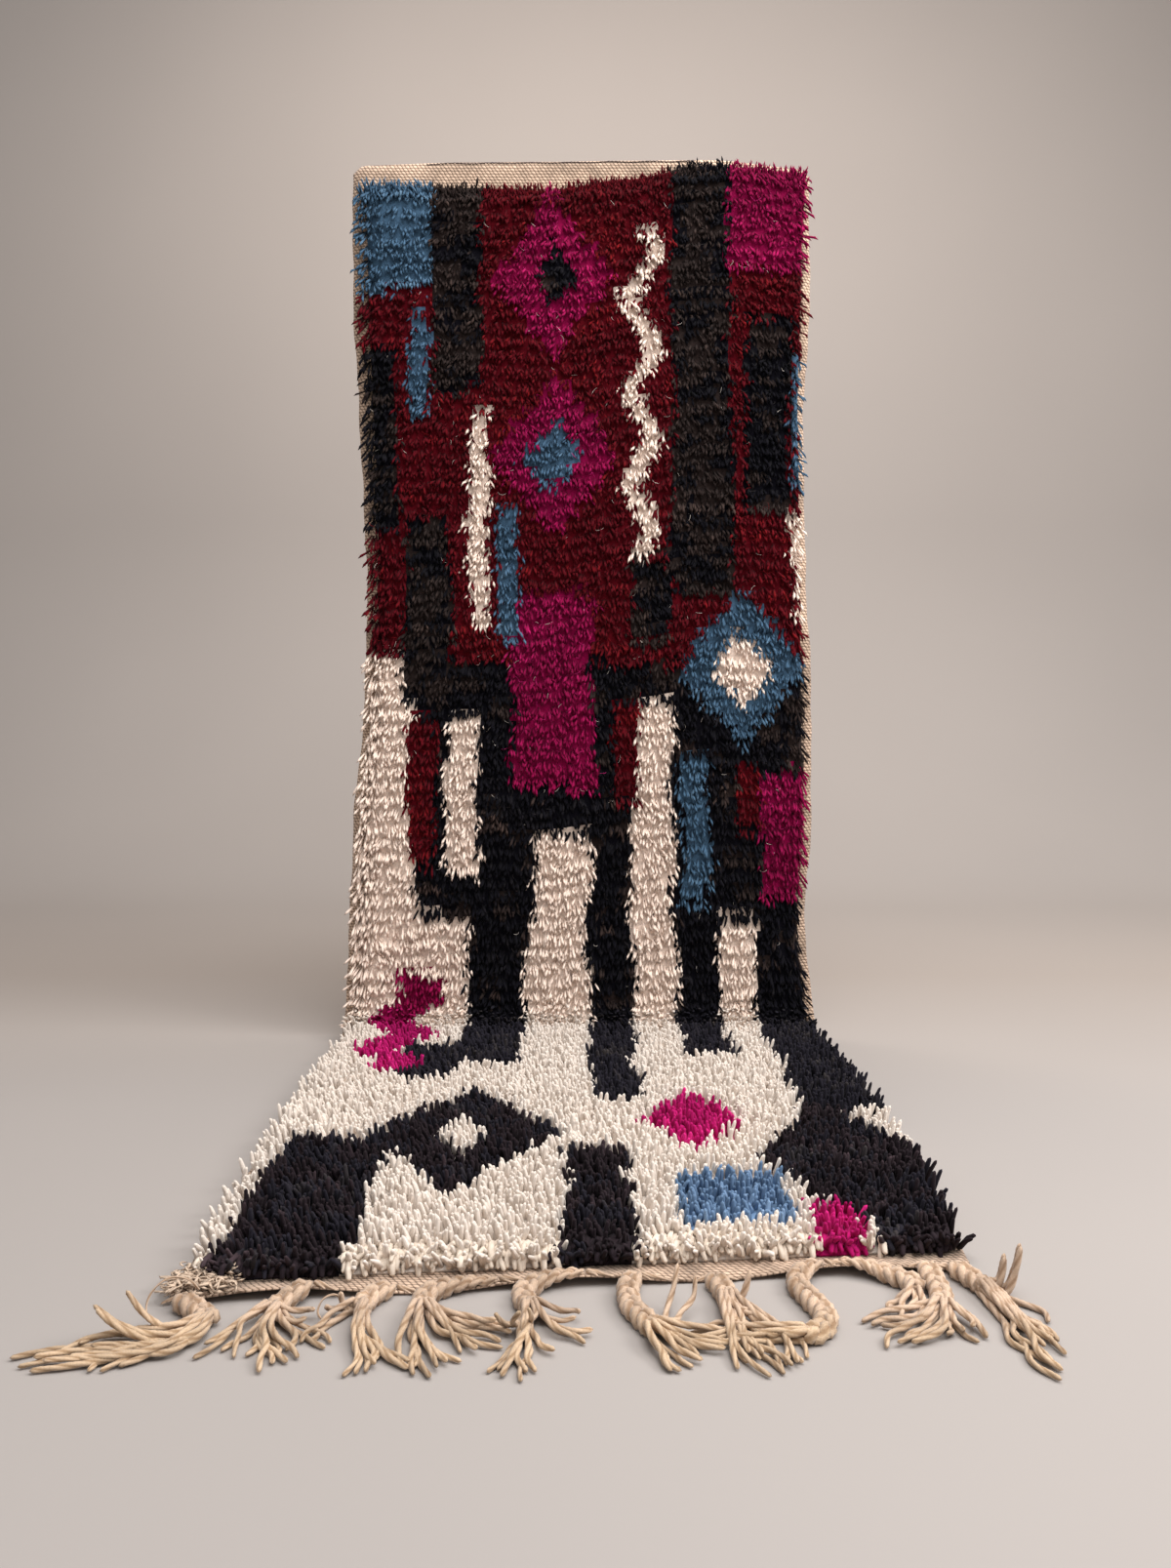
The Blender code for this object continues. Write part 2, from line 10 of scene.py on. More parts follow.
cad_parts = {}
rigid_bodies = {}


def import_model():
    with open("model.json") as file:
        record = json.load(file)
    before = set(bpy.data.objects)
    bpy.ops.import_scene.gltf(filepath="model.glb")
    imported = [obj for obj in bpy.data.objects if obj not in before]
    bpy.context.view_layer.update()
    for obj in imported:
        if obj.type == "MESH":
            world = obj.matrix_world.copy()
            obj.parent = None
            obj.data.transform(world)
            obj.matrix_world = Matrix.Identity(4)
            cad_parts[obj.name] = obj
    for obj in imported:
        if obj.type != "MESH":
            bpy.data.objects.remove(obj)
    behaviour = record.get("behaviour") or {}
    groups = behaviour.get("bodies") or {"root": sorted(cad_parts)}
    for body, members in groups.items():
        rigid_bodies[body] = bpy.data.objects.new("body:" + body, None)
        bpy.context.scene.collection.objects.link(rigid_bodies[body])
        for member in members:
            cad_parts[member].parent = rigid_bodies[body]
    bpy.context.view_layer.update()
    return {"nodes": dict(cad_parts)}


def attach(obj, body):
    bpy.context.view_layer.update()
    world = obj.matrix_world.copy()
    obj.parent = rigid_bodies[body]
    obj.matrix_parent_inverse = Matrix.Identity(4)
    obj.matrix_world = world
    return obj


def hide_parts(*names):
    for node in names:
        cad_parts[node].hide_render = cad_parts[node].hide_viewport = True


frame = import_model()
scene = bpy.context.scene
print("frame loaded:", len(frame["nodes"]), "nodes")


def addObject(name, data, collection=scene.collection):
    made = bpy.data.objects.new(name, data)
    collection.objects.link(made)
    return made


# Camera, at the photograph's place
cameraLook = {
    "place": (0.0, -1.60, 0.58),
    "lens": 27.0,
    "shift": (0.003, -0.0507),
}
cameraData = bpy.data.cameras.new("photoCamera")
cameraData.lens = cameraLook["lens"]
cameraData.shift_x, cameraData.shift_y = cameraLook["shift"]
scene.camera = addObject("photoCamera", cameraData)
scene.camera.location = cameraLook["place"]
scene.camera.rotation_euler = (math.radians(90), 0, 0)

# The flat rug, and how it hangs and lies
rug = {
    "topHeight": 1.532,
    "backY": 0.460,
    "bendRadius": 0.062,  # of the back where it turns onto the floor
    "frontCorner": (-0.400, -0.466),  # left end of the front edge
    "frontSlant": 0.085,  # the edge draws back by this for each metre to the right
    "cloth": 0.0045,
    "clear": 0.0003,
    "lowest": 0.0008,  # of a lock above the floor
    "bendRoom": 0.004,  # between the highest lock and the middle of the bend
    "frontBand": 0.036,  # bare weave in front of the pile
    "frontLift": 0.010,
    "liftWave": 0.28,
    "liftPhase": 1.80,
    "standUp": 0.045,  # past the bend's start, where the locks begin to stand up
    "passage": 0.045,  # to either side of that, where both kinds mix
    "wornCorner": (0.060, 0.080),
    "flatSize": (0.80, 2.40),
}
wallRun = rug["topHeight"] - rug["bendRadius"]
floorStart = wallRun + rug["bendRadius"] * math.pi / 2
laidFrom = wallRun + rug["standUp"]

# both edges and the bare selvedges beside the pile, along the rug from its top
edges = (
    ("along", "left", "right", "bareLeft", "bareRight"),
    (0.04, -0.400, 0.400, 0.026, 0.008),
    (0.23, -0.399, 0.402, 0.028, 0.018),
    (0.45, -0.388, 0.390, 0.028, 0.012),
    (0.60, -0.380, 0.392, 0.026, 0.012),
    (0.74, -0.374, 0.395, 0.022, 0.018),
    (0.91, -0.379, 0.404, 0.022, 0.020),
    (1.17, -0.400, 0.404, 0.026, 0.018),
    (1.34, -0.407, 0.392, 0.026, 0.018),
    (1.52, -0.412, 0.406, 0.022, 0.018),
    (1.83, -0.414, 0.412, 0.014, 0.014),
    (2.12, -0.408, 0.415, 0.014, 0.014),
    (2.40, -0.400, 0.402, 0.016, 0.016),
)
# how far the top edge dips, and the bare weave above the pile
topEdge = (
    ("across", "dip", "bare"),
    (-0.40, 0.010, 0.036),
    (-0.20, 0.004, 0.046),
    (-0.06, 0.003, 0.052),
    (0.08, 0.001, 0.034),
    (0.22, 0.000, 0.012),
    (0.40, 0.016, 0.008),
)


def between(table, at, column):
    # reads a column of a table at many places, with smooth passages from row to row
    column = table[0].index(column)
    keys = np.array([row[0] for row in table[1:]])
    values = np.array([row[column] for row in table[1:]])
    at = np.asarray(at, float)
    i = np.clip(np.searchsorted(keys, at) - 1, 0, len(keys) - 2)
    share = np.clip((at - keys[i]) / (keys[i + 1] - keys[i]), 0, 1)
    share = share * share * (3 - 2 * share)
    return values[i] + share * (values[i + 1] - values[i])


def frontAt(across):
    return rug["frontCorner"][1] + rug["frontSlant"] * (across - rug["frontCorner"][0])


def frontAlong(across):
    return floorStart + rug["backY"] - rug["bendRadius"] - frontAt(across)


def frontLiftAt(across, along):
    share = 1 - (frontAlong(across) - along) / rug["frontBand"]
    wave = 0.5 + 0.5 * np.sin(2 * np.pi * across / rug["liftWave"] + rug["liftPhase"])
    return rug["frontLift"] * wave * np.clip(share, 0, 1) ** 1.5


def pileSpan(along):
    # the pile's left and right edges
    left = between(edges, along, "left") + between(edges, along, "bareLeft")
    right = between(edges, along, "right") - between(edges, along, "bareRight")
    return left, right


def pileAlong(across, t):
    # from the pile's upper edge, where t is 0, to its front edge
    top = between(topEdge, across, "dip") + between(topEdge, across, "bare")
    return (1 - t) * top + t * (frontAlong(across) - rug["frontBand"])


def cornerShare(across, along):
    # one in the worn corner at the left of the front edge, zero elsewhere
    sideways = (across - rug["frontCorner"][0]) / rug["wornCorner"][0]
    inward = (frontAlong(across) - along) / rug["wornCorner"][1]
    return np.clip(1.6 - 1.6 * np.hypot(sideways, inward), 0, 1)


def drape(flat):
    # from the flat rug (across, along, height off the weave's face) to the room
    across, along, height = flat.T
    radius = rug["bendRadius"]
    turn = np.clip((along - wallRun) / radius, 0, math.pi / 2)
    reach = radius - rug["cloth"] - height
    y = rug["backY"] - radius + reach * np.cos(turn) - np.maximum(along - floorStart, 0)
    z = radius - reach * np.sin(turn) + np.maximum(wallRun - along, 0)
    return np.column_stack((across, y, z))


def flatPlaces(across, along):
    return np.column_stack((np.ravel(across), np.ravel(along), np.zeros(np.size(across))))


def noiseAt(places, scale, seed=0.0):
    # one smooth random value, from -1 to 1, for each place
    shifted = places * scale + np.array((seed, seed * 1.7, seed * 0.3))
    return np.array([noise.noise(Vector(p)) for p in shifted])


# Yarns, and the pattern of the knots
lockKinds = ("hung", "laid", "front")
# of each yarn: its colour in each kind of lock, which holds painted light (the same yarn is set lighter or
# darker by how the light falls on the hanging, lying and front locks), and how much lighter some of its
# strands are
yarns = {
    "wine": {"hung": (0.100, 0.0024, 0.0075), "laid": (0.140, 0.0040, 0.0100), "worn": (2.2, 3.0, 1.4)},
    "magenta": {"hung": (0.270, 0.0032, 0.0600), "laid": (0.500, 0.0100, 0.1500), "worn": (1.9, 4.0, 2.2)},
    "blue": {"hung": (0.070, 0.142, 0.232), "laid": (0.182, 0.294, 0.468), "worn": (2.1, 1.8, 1.6)},
    "charcoal": {"hung": (0.0290, 0.0195, 0.0180), "laid": (0.0270, 0.0190, 0.0235), "worn": (2.9, 2.8, 2.6)},
    "black": {"hung": (0.0050, 0.0046, 0.0080), "laid": (0.0220, 0.0200, 0.0290), "worn": (3.2, 3.0, 2.0)},
    "cream": {
        "hung": (0.900, 0.745, 0.645), "laid": (0.762, 0.686, 0.620), "front": (0.725, 0.630, 0.535),
        "worn": (1.02, 1.03, 1.04), "soft": 0.82,
    },
}
yarnNames = list(yarns)
pattern = {
    "seed": 1795668287,  # of the wander
    "zigzagSwing": 0.030,
    "zigzagTurn": 0.160,
    "wander": (9, 0.013),  # of the motifs' outlines: waves for each metre, and how far
    "ragged": 0.009,  # from row to row
    "raggedScale": (12, 60),
    "mottle": 0.07,  # above this a charcoal place holds black knots
    "mottleBack": -0.26,  # below this a black place holds charcoal knots
    "mottleScale": (17, 36),
}
# kind, yarn, across, along, width, length; later ones lie over earlier ones
motifs = (
    ("bar", "wine", 0.00, 0.43, 0.90, 0.92),
    ("bar", "black", 0.06, 1.09, 0.80, 0.44),
    ("bar", "cream", -0.365, 1.10, 0.150, 0.50),
    ("bar", "cream", 0.00, 1.89, 0.90, 1.16),
    ("bar", "blue", -0.328, 0.13, 0.150, 0.200),
    ("bar", "charcoal", -0.215, 0.21, 0.085, 0.380),
    ("bar", "black", -0.350, 0.48, 0.065, 0.320),
    ("lozenge", "magenta", -0.045, 0.20, 0.220, 0.280),
    ("lozenge", "black", -0.045, 0.20, 0.090, 0.110),
    ("lozenge", "magenta", -0.045, 0.51, 0.220, 0.280),
    ("lozenge", "blue", -0.045, 0.51, 0.100, 0.120),
    ("zigzag", "cream", 0.105, 0.40, 0.034, 0.560),
    ("bar", "charcoal", 0.210, 0.38, 0.105, 0.740),
    ("bar", "magenta", 0.335, 0.10, 0.160, 0.170),
    ("bar", "black", 0.325, 0.44, 0.080, 0.340),
    ("bar", "blue", 0.392, 0.46, 0.040, 0.220),
    ("bar", "cream", -0.175, 0.62, 0.034, 0.360),
    ("bar", "charcoal", -0.265, 0.78, 0.080, 0.320),
    ("bar", "magenta", -0.050, 0.92, 0.150, 0.340),
    ("lozenge", "blue", 0.280, 0.88, 0.220, 0.280),
    ("lozenge", "cream", 0.280, 0.88, 0.100, 0.130),
    ("bar", "magenta", 0.365, 1.18, 0.110, 0.240),
    ("bar", "cream", 0.125, 1.12, 0.070, 0.380),
    ("bar", "blue", 0.200, 1.17, 0.050, 0.260),
    ("bar", "wine", -0.275, 1.10, 0.050, 0.260),
    ("bar", "cream", -0.205, 1.10, 0.055, 0.280),
    ("bar", "cream", -0.030, 1.25, 0.100, 0.160),
    ("bar", "black", -0.145, 1.52, 0.100, 0.480),
    ("bar", "black", 0.050, 1.60, 0.075, 0.640),
    ("bar", "black", 0.205, 1.50, 0.075, 0.420),
    ("bar", "black", 0.370, 1.62, 0.130, 0.680),
    ("bar", "black", -0.235, 1.74, 0.090, 0.160),
    ("zigzag", "magenta", -0.300, 1.60, 0.070, 0.380),
    ("lozenge", "charcoal", -0.150, 2.05, 0.260, 0.360),
    ("lozenge", "cream", -0.150, 2.05, 0.080, 0.120),
    ("lozenge", "magenta", 0.150, 2.00, 0.140, 0.210),
    ("bar", "blue", 0.170, 2.24, 0.120, 0.130),
    ("bar", "charcoal", -0.305, 2.24, 0.135, 0.360),
    ("lozenge", "charcoal", 0.325, 2.13, 0.230, 0.420),
    ("bar", "charcoal", 0.365, 2.28, 0.090, 0.240),
    ("bar", "charcoal", 0.020, 2.26, 0.075, 0.330),
    ("bar", "magenta", 0.270, 2.33, 0.055, 0.150),
    ("bar", "blue", -0.125, 0.71, 0.036, 0.240),
    ("bar", "blue", -0.280, 0.36, 0.034, 0.180),
    ("bar", "charcoal", 0.120, 0.76, 0.070, 0.150),
    ("bar", "wine", 0.075, 1.02, 0.040, 0.170),
    ("bar", "charcoal", 0.385, 0.98, 0.050, 0.140),
    ("bar", "wine", 0.290, 1.10, 0.036, 0.120),
    ("bar", "cream", 0.385, 0.70, 0.044, 0.190),
)


def yarnAt(across, along):
    # the yarn's number of the knots at these places; without a seed, noise_vector differs in each run
    noise.seed_set(pattern["seed"])
    waves, far = pattern["wander"]
    stray = np.array([
        noise.noise_vector(Vector((x * waves, s * waves, 0.5)))[:2] for x, s in zip(across, along)
    ])
    x, s = across + stray[:, 0] * far, along + stray[:, 1] * far
    beside, ahead = pattern["raggedScale"]
    x = x + pattern["ragged"] * noiseAt(flatPlaces(across * beside, along * ahead), 1.0, 4.0)
    found = np.zeros(len(x), int)
    for kind, yarn, middle, centre, width, length in motifs:
        ds = np.abs(s - centre) / (length / 2)
        if kind == "zigzag":
            phase = (s % pattern["zigzagTurn"]) / pattern["zigzagTurn"]
            middle = middle + pattern["zigzagSwing"] * (4 * np.abs(phase - 0.5) - 1)
        dx = np.abs(x - middle) / (width / 2)
        inside = dx + ds < 1 if kind == "lozenge" else (dx < 1) & (ds < 1)
        found[inside] = yarnNames.index(yarn)
    beside, ahead = pattern["mottleScale"]
    mottle = noiseAt(flatPlaces(across * beside, along * ahead), 1.0, 7.0)
    black, charcoal = yarnNames.index("black"), yarnNames.index("charcoal")
    darker = (found == charcoal) & (mottle > pattern["mottle"])
    lighter = (found == black) & (mottle < pattern["mottleBack"]) & (along < wallRun)
    found[darker], found[lighter] = black, charcoal
    return found


# Helpers for node trees
def setInput(tree, socket, value):
    if isinstance(value, bpy.types.NodeSocket):
        tree.links.new(value, socket)
    else:
        socket.default_value = value


def addNode(tree, kind, inputs=None, **settings):
    node = tree.nodes.new(kind)
    for name, value in settings.items():
        setattr(node, name, value)
    for name, value in (inputs or {}).items():
        setInput(tree, node.inputs[name], value)
    return node


def mathNode(tree, operation, *values, clamp=False):
    node = addNode(tree, "ShaderNodeMath", dict(enumerate(values)), operation=operation, use_clamp=clamp)
    return node.outputs[0]


def addRamp(tree, factor, *stops):
    # a stop's colour may be one number for a grey
    node = addNode(tree, "ShaderNodeValToRGB", {"Fac": factor})
    ramp = node.color_ramp
    while len(ramp.elements) < len(stops):
        ramp.elements.new(0.5)
    for element, (place, colour) in zip(ramp.elements, stops):
        element.position = place
        element.color = (*(colour if isinstance(colour, tuple) else (colour,) * 3), 1.0)
    return node.outputs["Color"]


def mixColours(tree, factor, first, second, blend="MIX"):
    node = addNode(tree, "ShaderNodeMix", data_type="RGBA", blend_type=blend)
    for name, value in (("Factor_Float", factor), ("A_Color", first), ("B_Color", second)):
        setInput(tree, next(s for s in node.inputs if s.identifier == name), value)
    return next(s for s in node.outputs if s.identifier == "Result_Color")


def shaded(tree, colour, shade):
    return mixColours(tree, 1.0, colour, shade, "MULTIPLY")


def objectPlace(tree):
    return addNode(tree, "ShaderNodeTexCoord").outputs["Object"]


def splitPlace(tree, place):
    return addNode(tree, "ShaderNodeSeparateXYZ", {"Vector": place}).outputs


def patches(tree, place, scale, detail):
    made = addNode(tree, "ShaderNodeTexNoise", {"Vector": place, "Scale": scale, "Detail": detail})
    return made.outputs["Fac"]


def fibresAlong(tree, uv, scale, detail):
    # fine streaks along a lock or a strand
    stretched = addNode(tree, "ShaderNodeMapping", {"Vector": uv, "Scale": (*scale, 1.0)})
    return patches(tree, stretched.outputs["Vector"], 1.0, detail)


def scaled(colour, factor):
    return tuple(min(c * factor, 1.0) for c in colour)


def newMaterial(name, roughness, sheen=0.0, sheenRoughness=0.5):
    material = bpy.data.materials.new(name)
    material.use_nodes = True
    for label, value in (("Roughness", roughness), ("Sheen Weight", sheen),
                         ("Sheen Roughness", sheenRoughness), ("Specular IOR Level", 0.08)):
        material.node_tree.nodes["Principled BSDF"].inputs[label].default_value = value
    return material, material.node_tree


def finishMaterial(material, colour, relief=None, strength=0.0, depth=0.0):
    tree = material.node_tree
    shader = tree.nodes["Principled BSDF"]
    tree.links.new(colour, shader.inputs["Base Color"])
    if relief:
        bump = addNode(tree, "ShaderNodeBump", {"Height": relief, "Strength": strength, "Distance": depth})
        tree.links.new(bump.outputs["Normal"], shader.inputs["Normal"])
    return material


def startTree(name, **inputs):
    # a Geometry Nodes tree with named inputs; gives its input node and the inputs' identifiers
    tree = bpy.data.node_groups.new(name, "GeometryNodeTree")
    names = {}
    inputs = {"Geometry": ("Geometry", None), **inputs, "Wool": ("Material", None)}
    for label, (kind, value) in inputs.items():
        socket = tree.interface.new_socket(label, in_out="INPUT", socket_type="NodeSocket" + kind)
        if value is not None:
            socket.default_value = value
        names[label] = socket.identifier
    tree.interface.new_socket("Geometry", in_out="OUTPUT", socket_type="NodeSocketGeometry")
    return tree, names, addNode(tree, "NodeGroupInput").outputs


def endTree(tree, geometry, wool):
    real = addNode(tree, "GeometryNodeRealizeInstances", {"Geometry": geometry})
    dyed = addNode(tree, "GeometryNodeSetMaterial", {"Geometry": real.outputs["Geometry"], "Material": wool})
    addNode(tree, "NodeGroupOutput", {"Geometry": dyed.outputs["Geometry"]})


def namedValue(tree, name):
    return addNode(tree, "GeometryNodeInputNamedAttribute", {"Name": name}, data_type="FLOAT").outputs[0]


# Helpers for meshes
def addMesh(name, places, links=(), faces=()):
    mesh = bpy.data.meshes.new(name)
    mesh.from_pydata(places, links, faces)
    return mesh


def addValues(mesh, **values):
    # named values on the points, for the node trees
    for label, given in values.items():
        layer = mesh.attributes.new(label, "FLOAT", "POINT")
        layer.data.foreach_set("value", np.asarray(given, np.float32))
    return mesh


def runTree(name, mesh, tree, names, **values):
    # runs a node tree on a mesh and gives back a plain mesh
    carrier = addObject(name, mesh)
    modifier = carrier.modifiers.new("nodes", "NODES")
    modifier.node_group = tree
    for label, value in values.items():
        modifier[names[label]] = value
    carrier.update_tag()
    graph = bpy.context.evaluated_depsgraph_get()
    made = bpy.data.meshes.new_from_object(carrier.evaluated_get(graph), depsgraph=graph)
    carrier.modifiers.clear()
    bpy.data.objects.remove(carrier)
    made.name = name
    return made


def changePlaces(mesh, change):
    places = np.zeros(len(mesh.vertices) * 3)
    mesh.vertices.foreach_get("co", places)
    mesh.vertices.foreach_set("co", change(places.reshape(-1, 3)).ravel())
    mesh.update()


def keepAbove(mesh, least):
    # what would reach below the floor is flattened on it
    changePlaces(mesh, lambda places: np.maximum(places, (-np.inf, -np.inf, least)))


def drapeMesh(mesh):
    highest = rug["bendRadius"] - rug["cloth"] - rug["bendRoom"]
    changePlaces(mesh, lambda flat: drape(np.minimum(flat, (np.inf, np.inf, highest))))
    keepAbove(mesh, rug["lowest"])


def countTriangles(*meshes):
    return sum(len(p.vertices) - 2 for mesh in meshes for p in mesh.polygons)


def newPiece(mesh, node):
    piece = addObject(mesh.name, mesh)
    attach(piece, "root")
    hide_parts(node)
    return piece


def gridFaces(rows, columns, first=0, flip=False):
    a = first + (np.arange(rows - 1)[:, None] * columns + np.arange(columns - 1)).ravel()
    quads = np.column_stack((a, a + 1, a + columns + 1, a + columns))
    return quads[:, ::-1] if flip else quads


def closedSheet(name, material, across, along, face, back):
    # a sheet with two sides on one grid, joined at its rim, and its flat coordinates
    rows, columns = across.shape
    count = rows * columns
    sides = [np.column_stack((across.ravel(), along.ravel(), side.ravel())) for side in (face, back)]
    flat = np.vstack(sides)
    quads = [gridFaces(rows, columns, flip=True), gridFaces(rows, columns, count)]
    grid = np.arange(count).reshape(rows, columns)
    for rim in (grid[0, :], grid[:, -1], grid[-1, ::-1], grid[::-1, 0]):
        quads.append(np.column_stack((rim[:-1], rim[1:], rim[1:] + count, rim[:-1] + count)))
    mesh = addMesh(name, drape(flat).tolist(), faces=np.vstack(quads).tolist())
    mesh.update()
    mesh.materials.append(material)
    mesh.shade_smooth()
    return mesh, flat


def paintKnots(mesh, flat, bare):
    # every face takes the colour of its knot, and bare weave has none
    count = len(mesh.polygons)
    corners = np.zeros(len(mesh.loops), int)
    mesh.loops.foreach_get("vertex_index", corners)
    totals = np.zeros(count, int)
    mesh.polygons.foreach_get("loop_total", totals)
    owner = np.repeat(np.arange(count), totals)
    middles = np.zeros((count, 2))
    np.add.at(middles, owner, flat[corners][:, :2])
    across, along = (middles / totals[:, None]).T
    found = yarnAt(across, along)
    # the knots' colours pass from the hanging to the lying copy of each yarn, with the painted light of each
    hung, laid = (np.array([look[kind] for look in yarns.values()])[found] for kind in ("hung", "laid"))
    lying = np.clip((along - laidFrom) / rug["passage"] * 0.5 + 0.5, 0, 1)[:, None]
    colours = np.column_stack((hung + (laid - hung) * lying, 1.0 - bare(across, along)))
    layer = mesh.color_attributes.new("knotColour", "FLOAT_COLOR", "CORNER")
    layer.data.foreach_set("color", colours[owner].astype(np.float32).ravel())
    return corners


def isBare(across, along):
    # one outside the pile, zero under it
    left, right = pileSpan(along)
    inside = (across > left) & (across < right)
    inside &= (along > pileAlong(across, 0.0)) & (along < pileAlong(across, 1.0))
    return np.where(inside, 0.0, 1.0)


# Woven foundation
weave = {
    "colour": (0.640, 0.470, 0.354),
    "warps": 150.0,  # threads for each metre across
    "wefts": 190.0,  # threads for each metre along
    "slant": -95.0,  # threads by which the stitches lean for each metre along
    "knotRows": 100,  # for each metre, as they show on the back
    "bump": 0.85,
    "bumpDepth": 0.0016,
}
foundation = {
    "columns": 60,
    "rows": 200,
    "corner": 0.012,  # radius
    "ragged": 0.0012,
    "selvedge": (0.0, 0.003, 0.006, 0.010, 0.014),
    "curl": (0.0070, 0.0050, 0.0030, 0.0012, 0.0),
    "pinch": (0.0012, 0.0002, 0.0, 0.0, 0.0),
    "endPinch": 0.0012,
    "curlFade": 0.18,
    "uneven": 0.0006,
}


def weaveWool():
    # plain weave of undyed wool, with painted shade in the hollows between its threads; the knots' yarns show
    # between the wefts behind the pile
    material, tree = newMaterial("wovenWool", 0.93, 0.15)
    uv = addNode(tree, "ShaderNodeUVMap", uv_map="weaveMap").outputs["UV"]
    place = objectPlace(tree)
    wander = addNode(tree, "ShaderNodeTexNoise", {"Vector": place, "Scale": 30.0, "Detail": 2.0})
    bent = addNode(tree, "ShaderNodeVectorMath", {
        0: wander.outputs["Color"], 1: (0.002, 0.002, 0.0), 2: uv,
    }, operation="MULTIPLY_ADD")
    sides = splitPlace(tree, bent.outputs["Vector"])

    def ridges(threads):
        waves = mathNode(tree, "SINE", mathNode(tree, "MULTIPLY", threads, math.pi))
        return mathNode(tree, "ABSOLUTE", waves)

    slant = mathNode(tree, "MULTIPLY", sides["Y"], weave["slant"])
    warpPlace = mathNode(tree, "MULTIPLY_ADD", sides["X"], weave["warps"], slant)
    weftPlace = mathNode(tree, "MULTIPLY", sides["Y"], weave["wefts"])
    threads = addNode(tree, "ShaderNodeCombineXYZ", {"X": warpPlace, "Y": weftPlace}).outputs["Vector"]
    over = addNode(tree, "ShaderNodeTexChecker", {"Vector": threads, "Scale": 1.0}).outputs["Fac"]
    crossing = mathNode(tree, "POWER", mathNode(tree, "MULTIPLY", ridges(warpPlace), ridges(weftPlace)), 0.5)
    relief = mathNode(tree, "MULTIPLY", crossing, mathNode(tree, "MULTIPLY_ADD", over, 0.35, 0.65))
    ground = addRamp(tree, patches(tree, place, 22.0, 5.0), (0.32, scaled(weave["colour"], 0.62)),
                     (0.55, weave["colour"]), (0.78, scaled(weave["colour"], 1.25)))
    knot = addNode(tree, "ShaderNodeAttribute", attribute_name="knotColour").outputs
    rows = mathNode(tree, "SINE", mathNode(tree, "MULTIPLY", sides["Y"], 2 * math.pi * weave["knotRows"]))
    shown = mathNode(tree, "MULTIPLY_ADD", rows, 0.35, 0.55, clamp=True)
    dyed = mixColours(tree, mathNode(tree, "MULTIPLY", knot["Alpha"], shown), ground, knot["Color"])
    # painted shade: darker where the relief is low, between the threads
    paintedHollowShade = addRamp(tree, relief, (0.14, (0.22, 0.19, 0.17)), (0.66, 1.0))
    return finishMaterial(material, shaded(tree, dyed, paintedHollowShade), relief, weave["bump"], weave["bumpDepth"])


def buildFoundation():
    look = foundation
    inner = len(look["selvedge"]) - 1
    t = np.linspace(0, 1, look["rows"] + 1)[:, None]
    middle = t[:, 0] * frontAlong(0.0)
    left, right = between(edges, middle, "left"), between(edges, middle, "right")
    for inset in (middle, frontAlong(0.0) - middle):
        room = np.clip(inset, 0, look["corner"])
        shift = look["corner"] - np.sqrt(look["corner"] ** 2 - (look["corner"] - room) ** 2)
        left, right = left + shift, right - shift
    ragged = look["ragged"] * np.sin(middle * 61) * np.sin(middle * 23 + 1)
    left, right = left + ragged, right + ragged
    shares = np.linspace(0, 1, look["columns"] + 1)
    width = look["selvedge"][-1]
    across = [left + offset for offset in look["selvedge"][:-1]]
    across += [left + width + (right - left - 2 * width) * share for share in shares]
    across += [right - offset for offset in reversed(look["selvedge"][:-1])]
    across = np.column_stack(across)
    index = np.concatenate((np.arange(inner), np.full(len(shares), inner), np.arange(inner)[::-1]))
    along = (1 - t) * between(topEdge, across, "dip") + t * frontAlong(across)
    curl = np.array(look["curl"])[index] * np.clip((wallRun - along) / look["curlFade"], 0, 1)
    pinch = np.array(look["pinch"])[index] * np.ones_like(along)
    pinch[0] += look["endPinch"]
    pinch[-1] += look["endPinch"]
    wobble = noiseAt(flatPlaces(across, along), 17.0).reshape(across.shape) * look["uneven"]
    wobble = np.where(along > wallRun, 0.0, wobble * (curl > 0))
    rise = frontLiftAt(across, along) - curl + wobble
    mesh, flat = closedSheet(
        "wovenFoundation", weaveWool(), across, along, rise - pinch, rise - rug["cloth"] + pinch
    )
    corners = paintKnots(mesh, flat, isBare)
    layer = mesh.uv_layers.new(name="weaveMap")
    layer.data.foreach_set("uv", flat[corners][:, :2].astype(np.float32).ravel())
    return newPiece(mesh, "foundation")


foundationPiece = buildFoundation()
print("foundation:", countTriangles(foundationPiece.data), "triangles")

# Bed of the pile, between the locks' roots
bed = {
    "columns": 60,
    "rows": 110,
    "hungHeight": 0.0120,
    "laidHeight": 0.0140,
    "lump": 0.0035,
    "rimReach": 0.020,  # in which it falls off towards its sides
    "topReach": 0.034,  # and towards its top
    "frontReach": 0.012,
    "rimHeight": 0.0025,
    "rimCurve": 0.8,
    "tufts": 180.0,
    "between": 0.72,  # shade between the tufts
    "bump": 0.8,
    "bumpDepth": 0.002,
}


def bedWool():
    # the wool between the locks' roots, in the colour of its knots, with painted shade between the tufts
    material, tree = newMaterial("pileBedWool", 0.95)
    knot = addNode(tree, "ShaderNodeAttribute", attribute_name="knotColour").outputs["Color"]
    tuft = patches(tree, objectPlace(tree), bed["tufts"], 4.0)
    shade = addRamp(tree, tuft, (0.35, bed["between"]), (0.65, 1.0))
    return finishMaterial(material, shaded(tree, knot, shade), tuft, bed["bump"], bed["bumpDepth"])


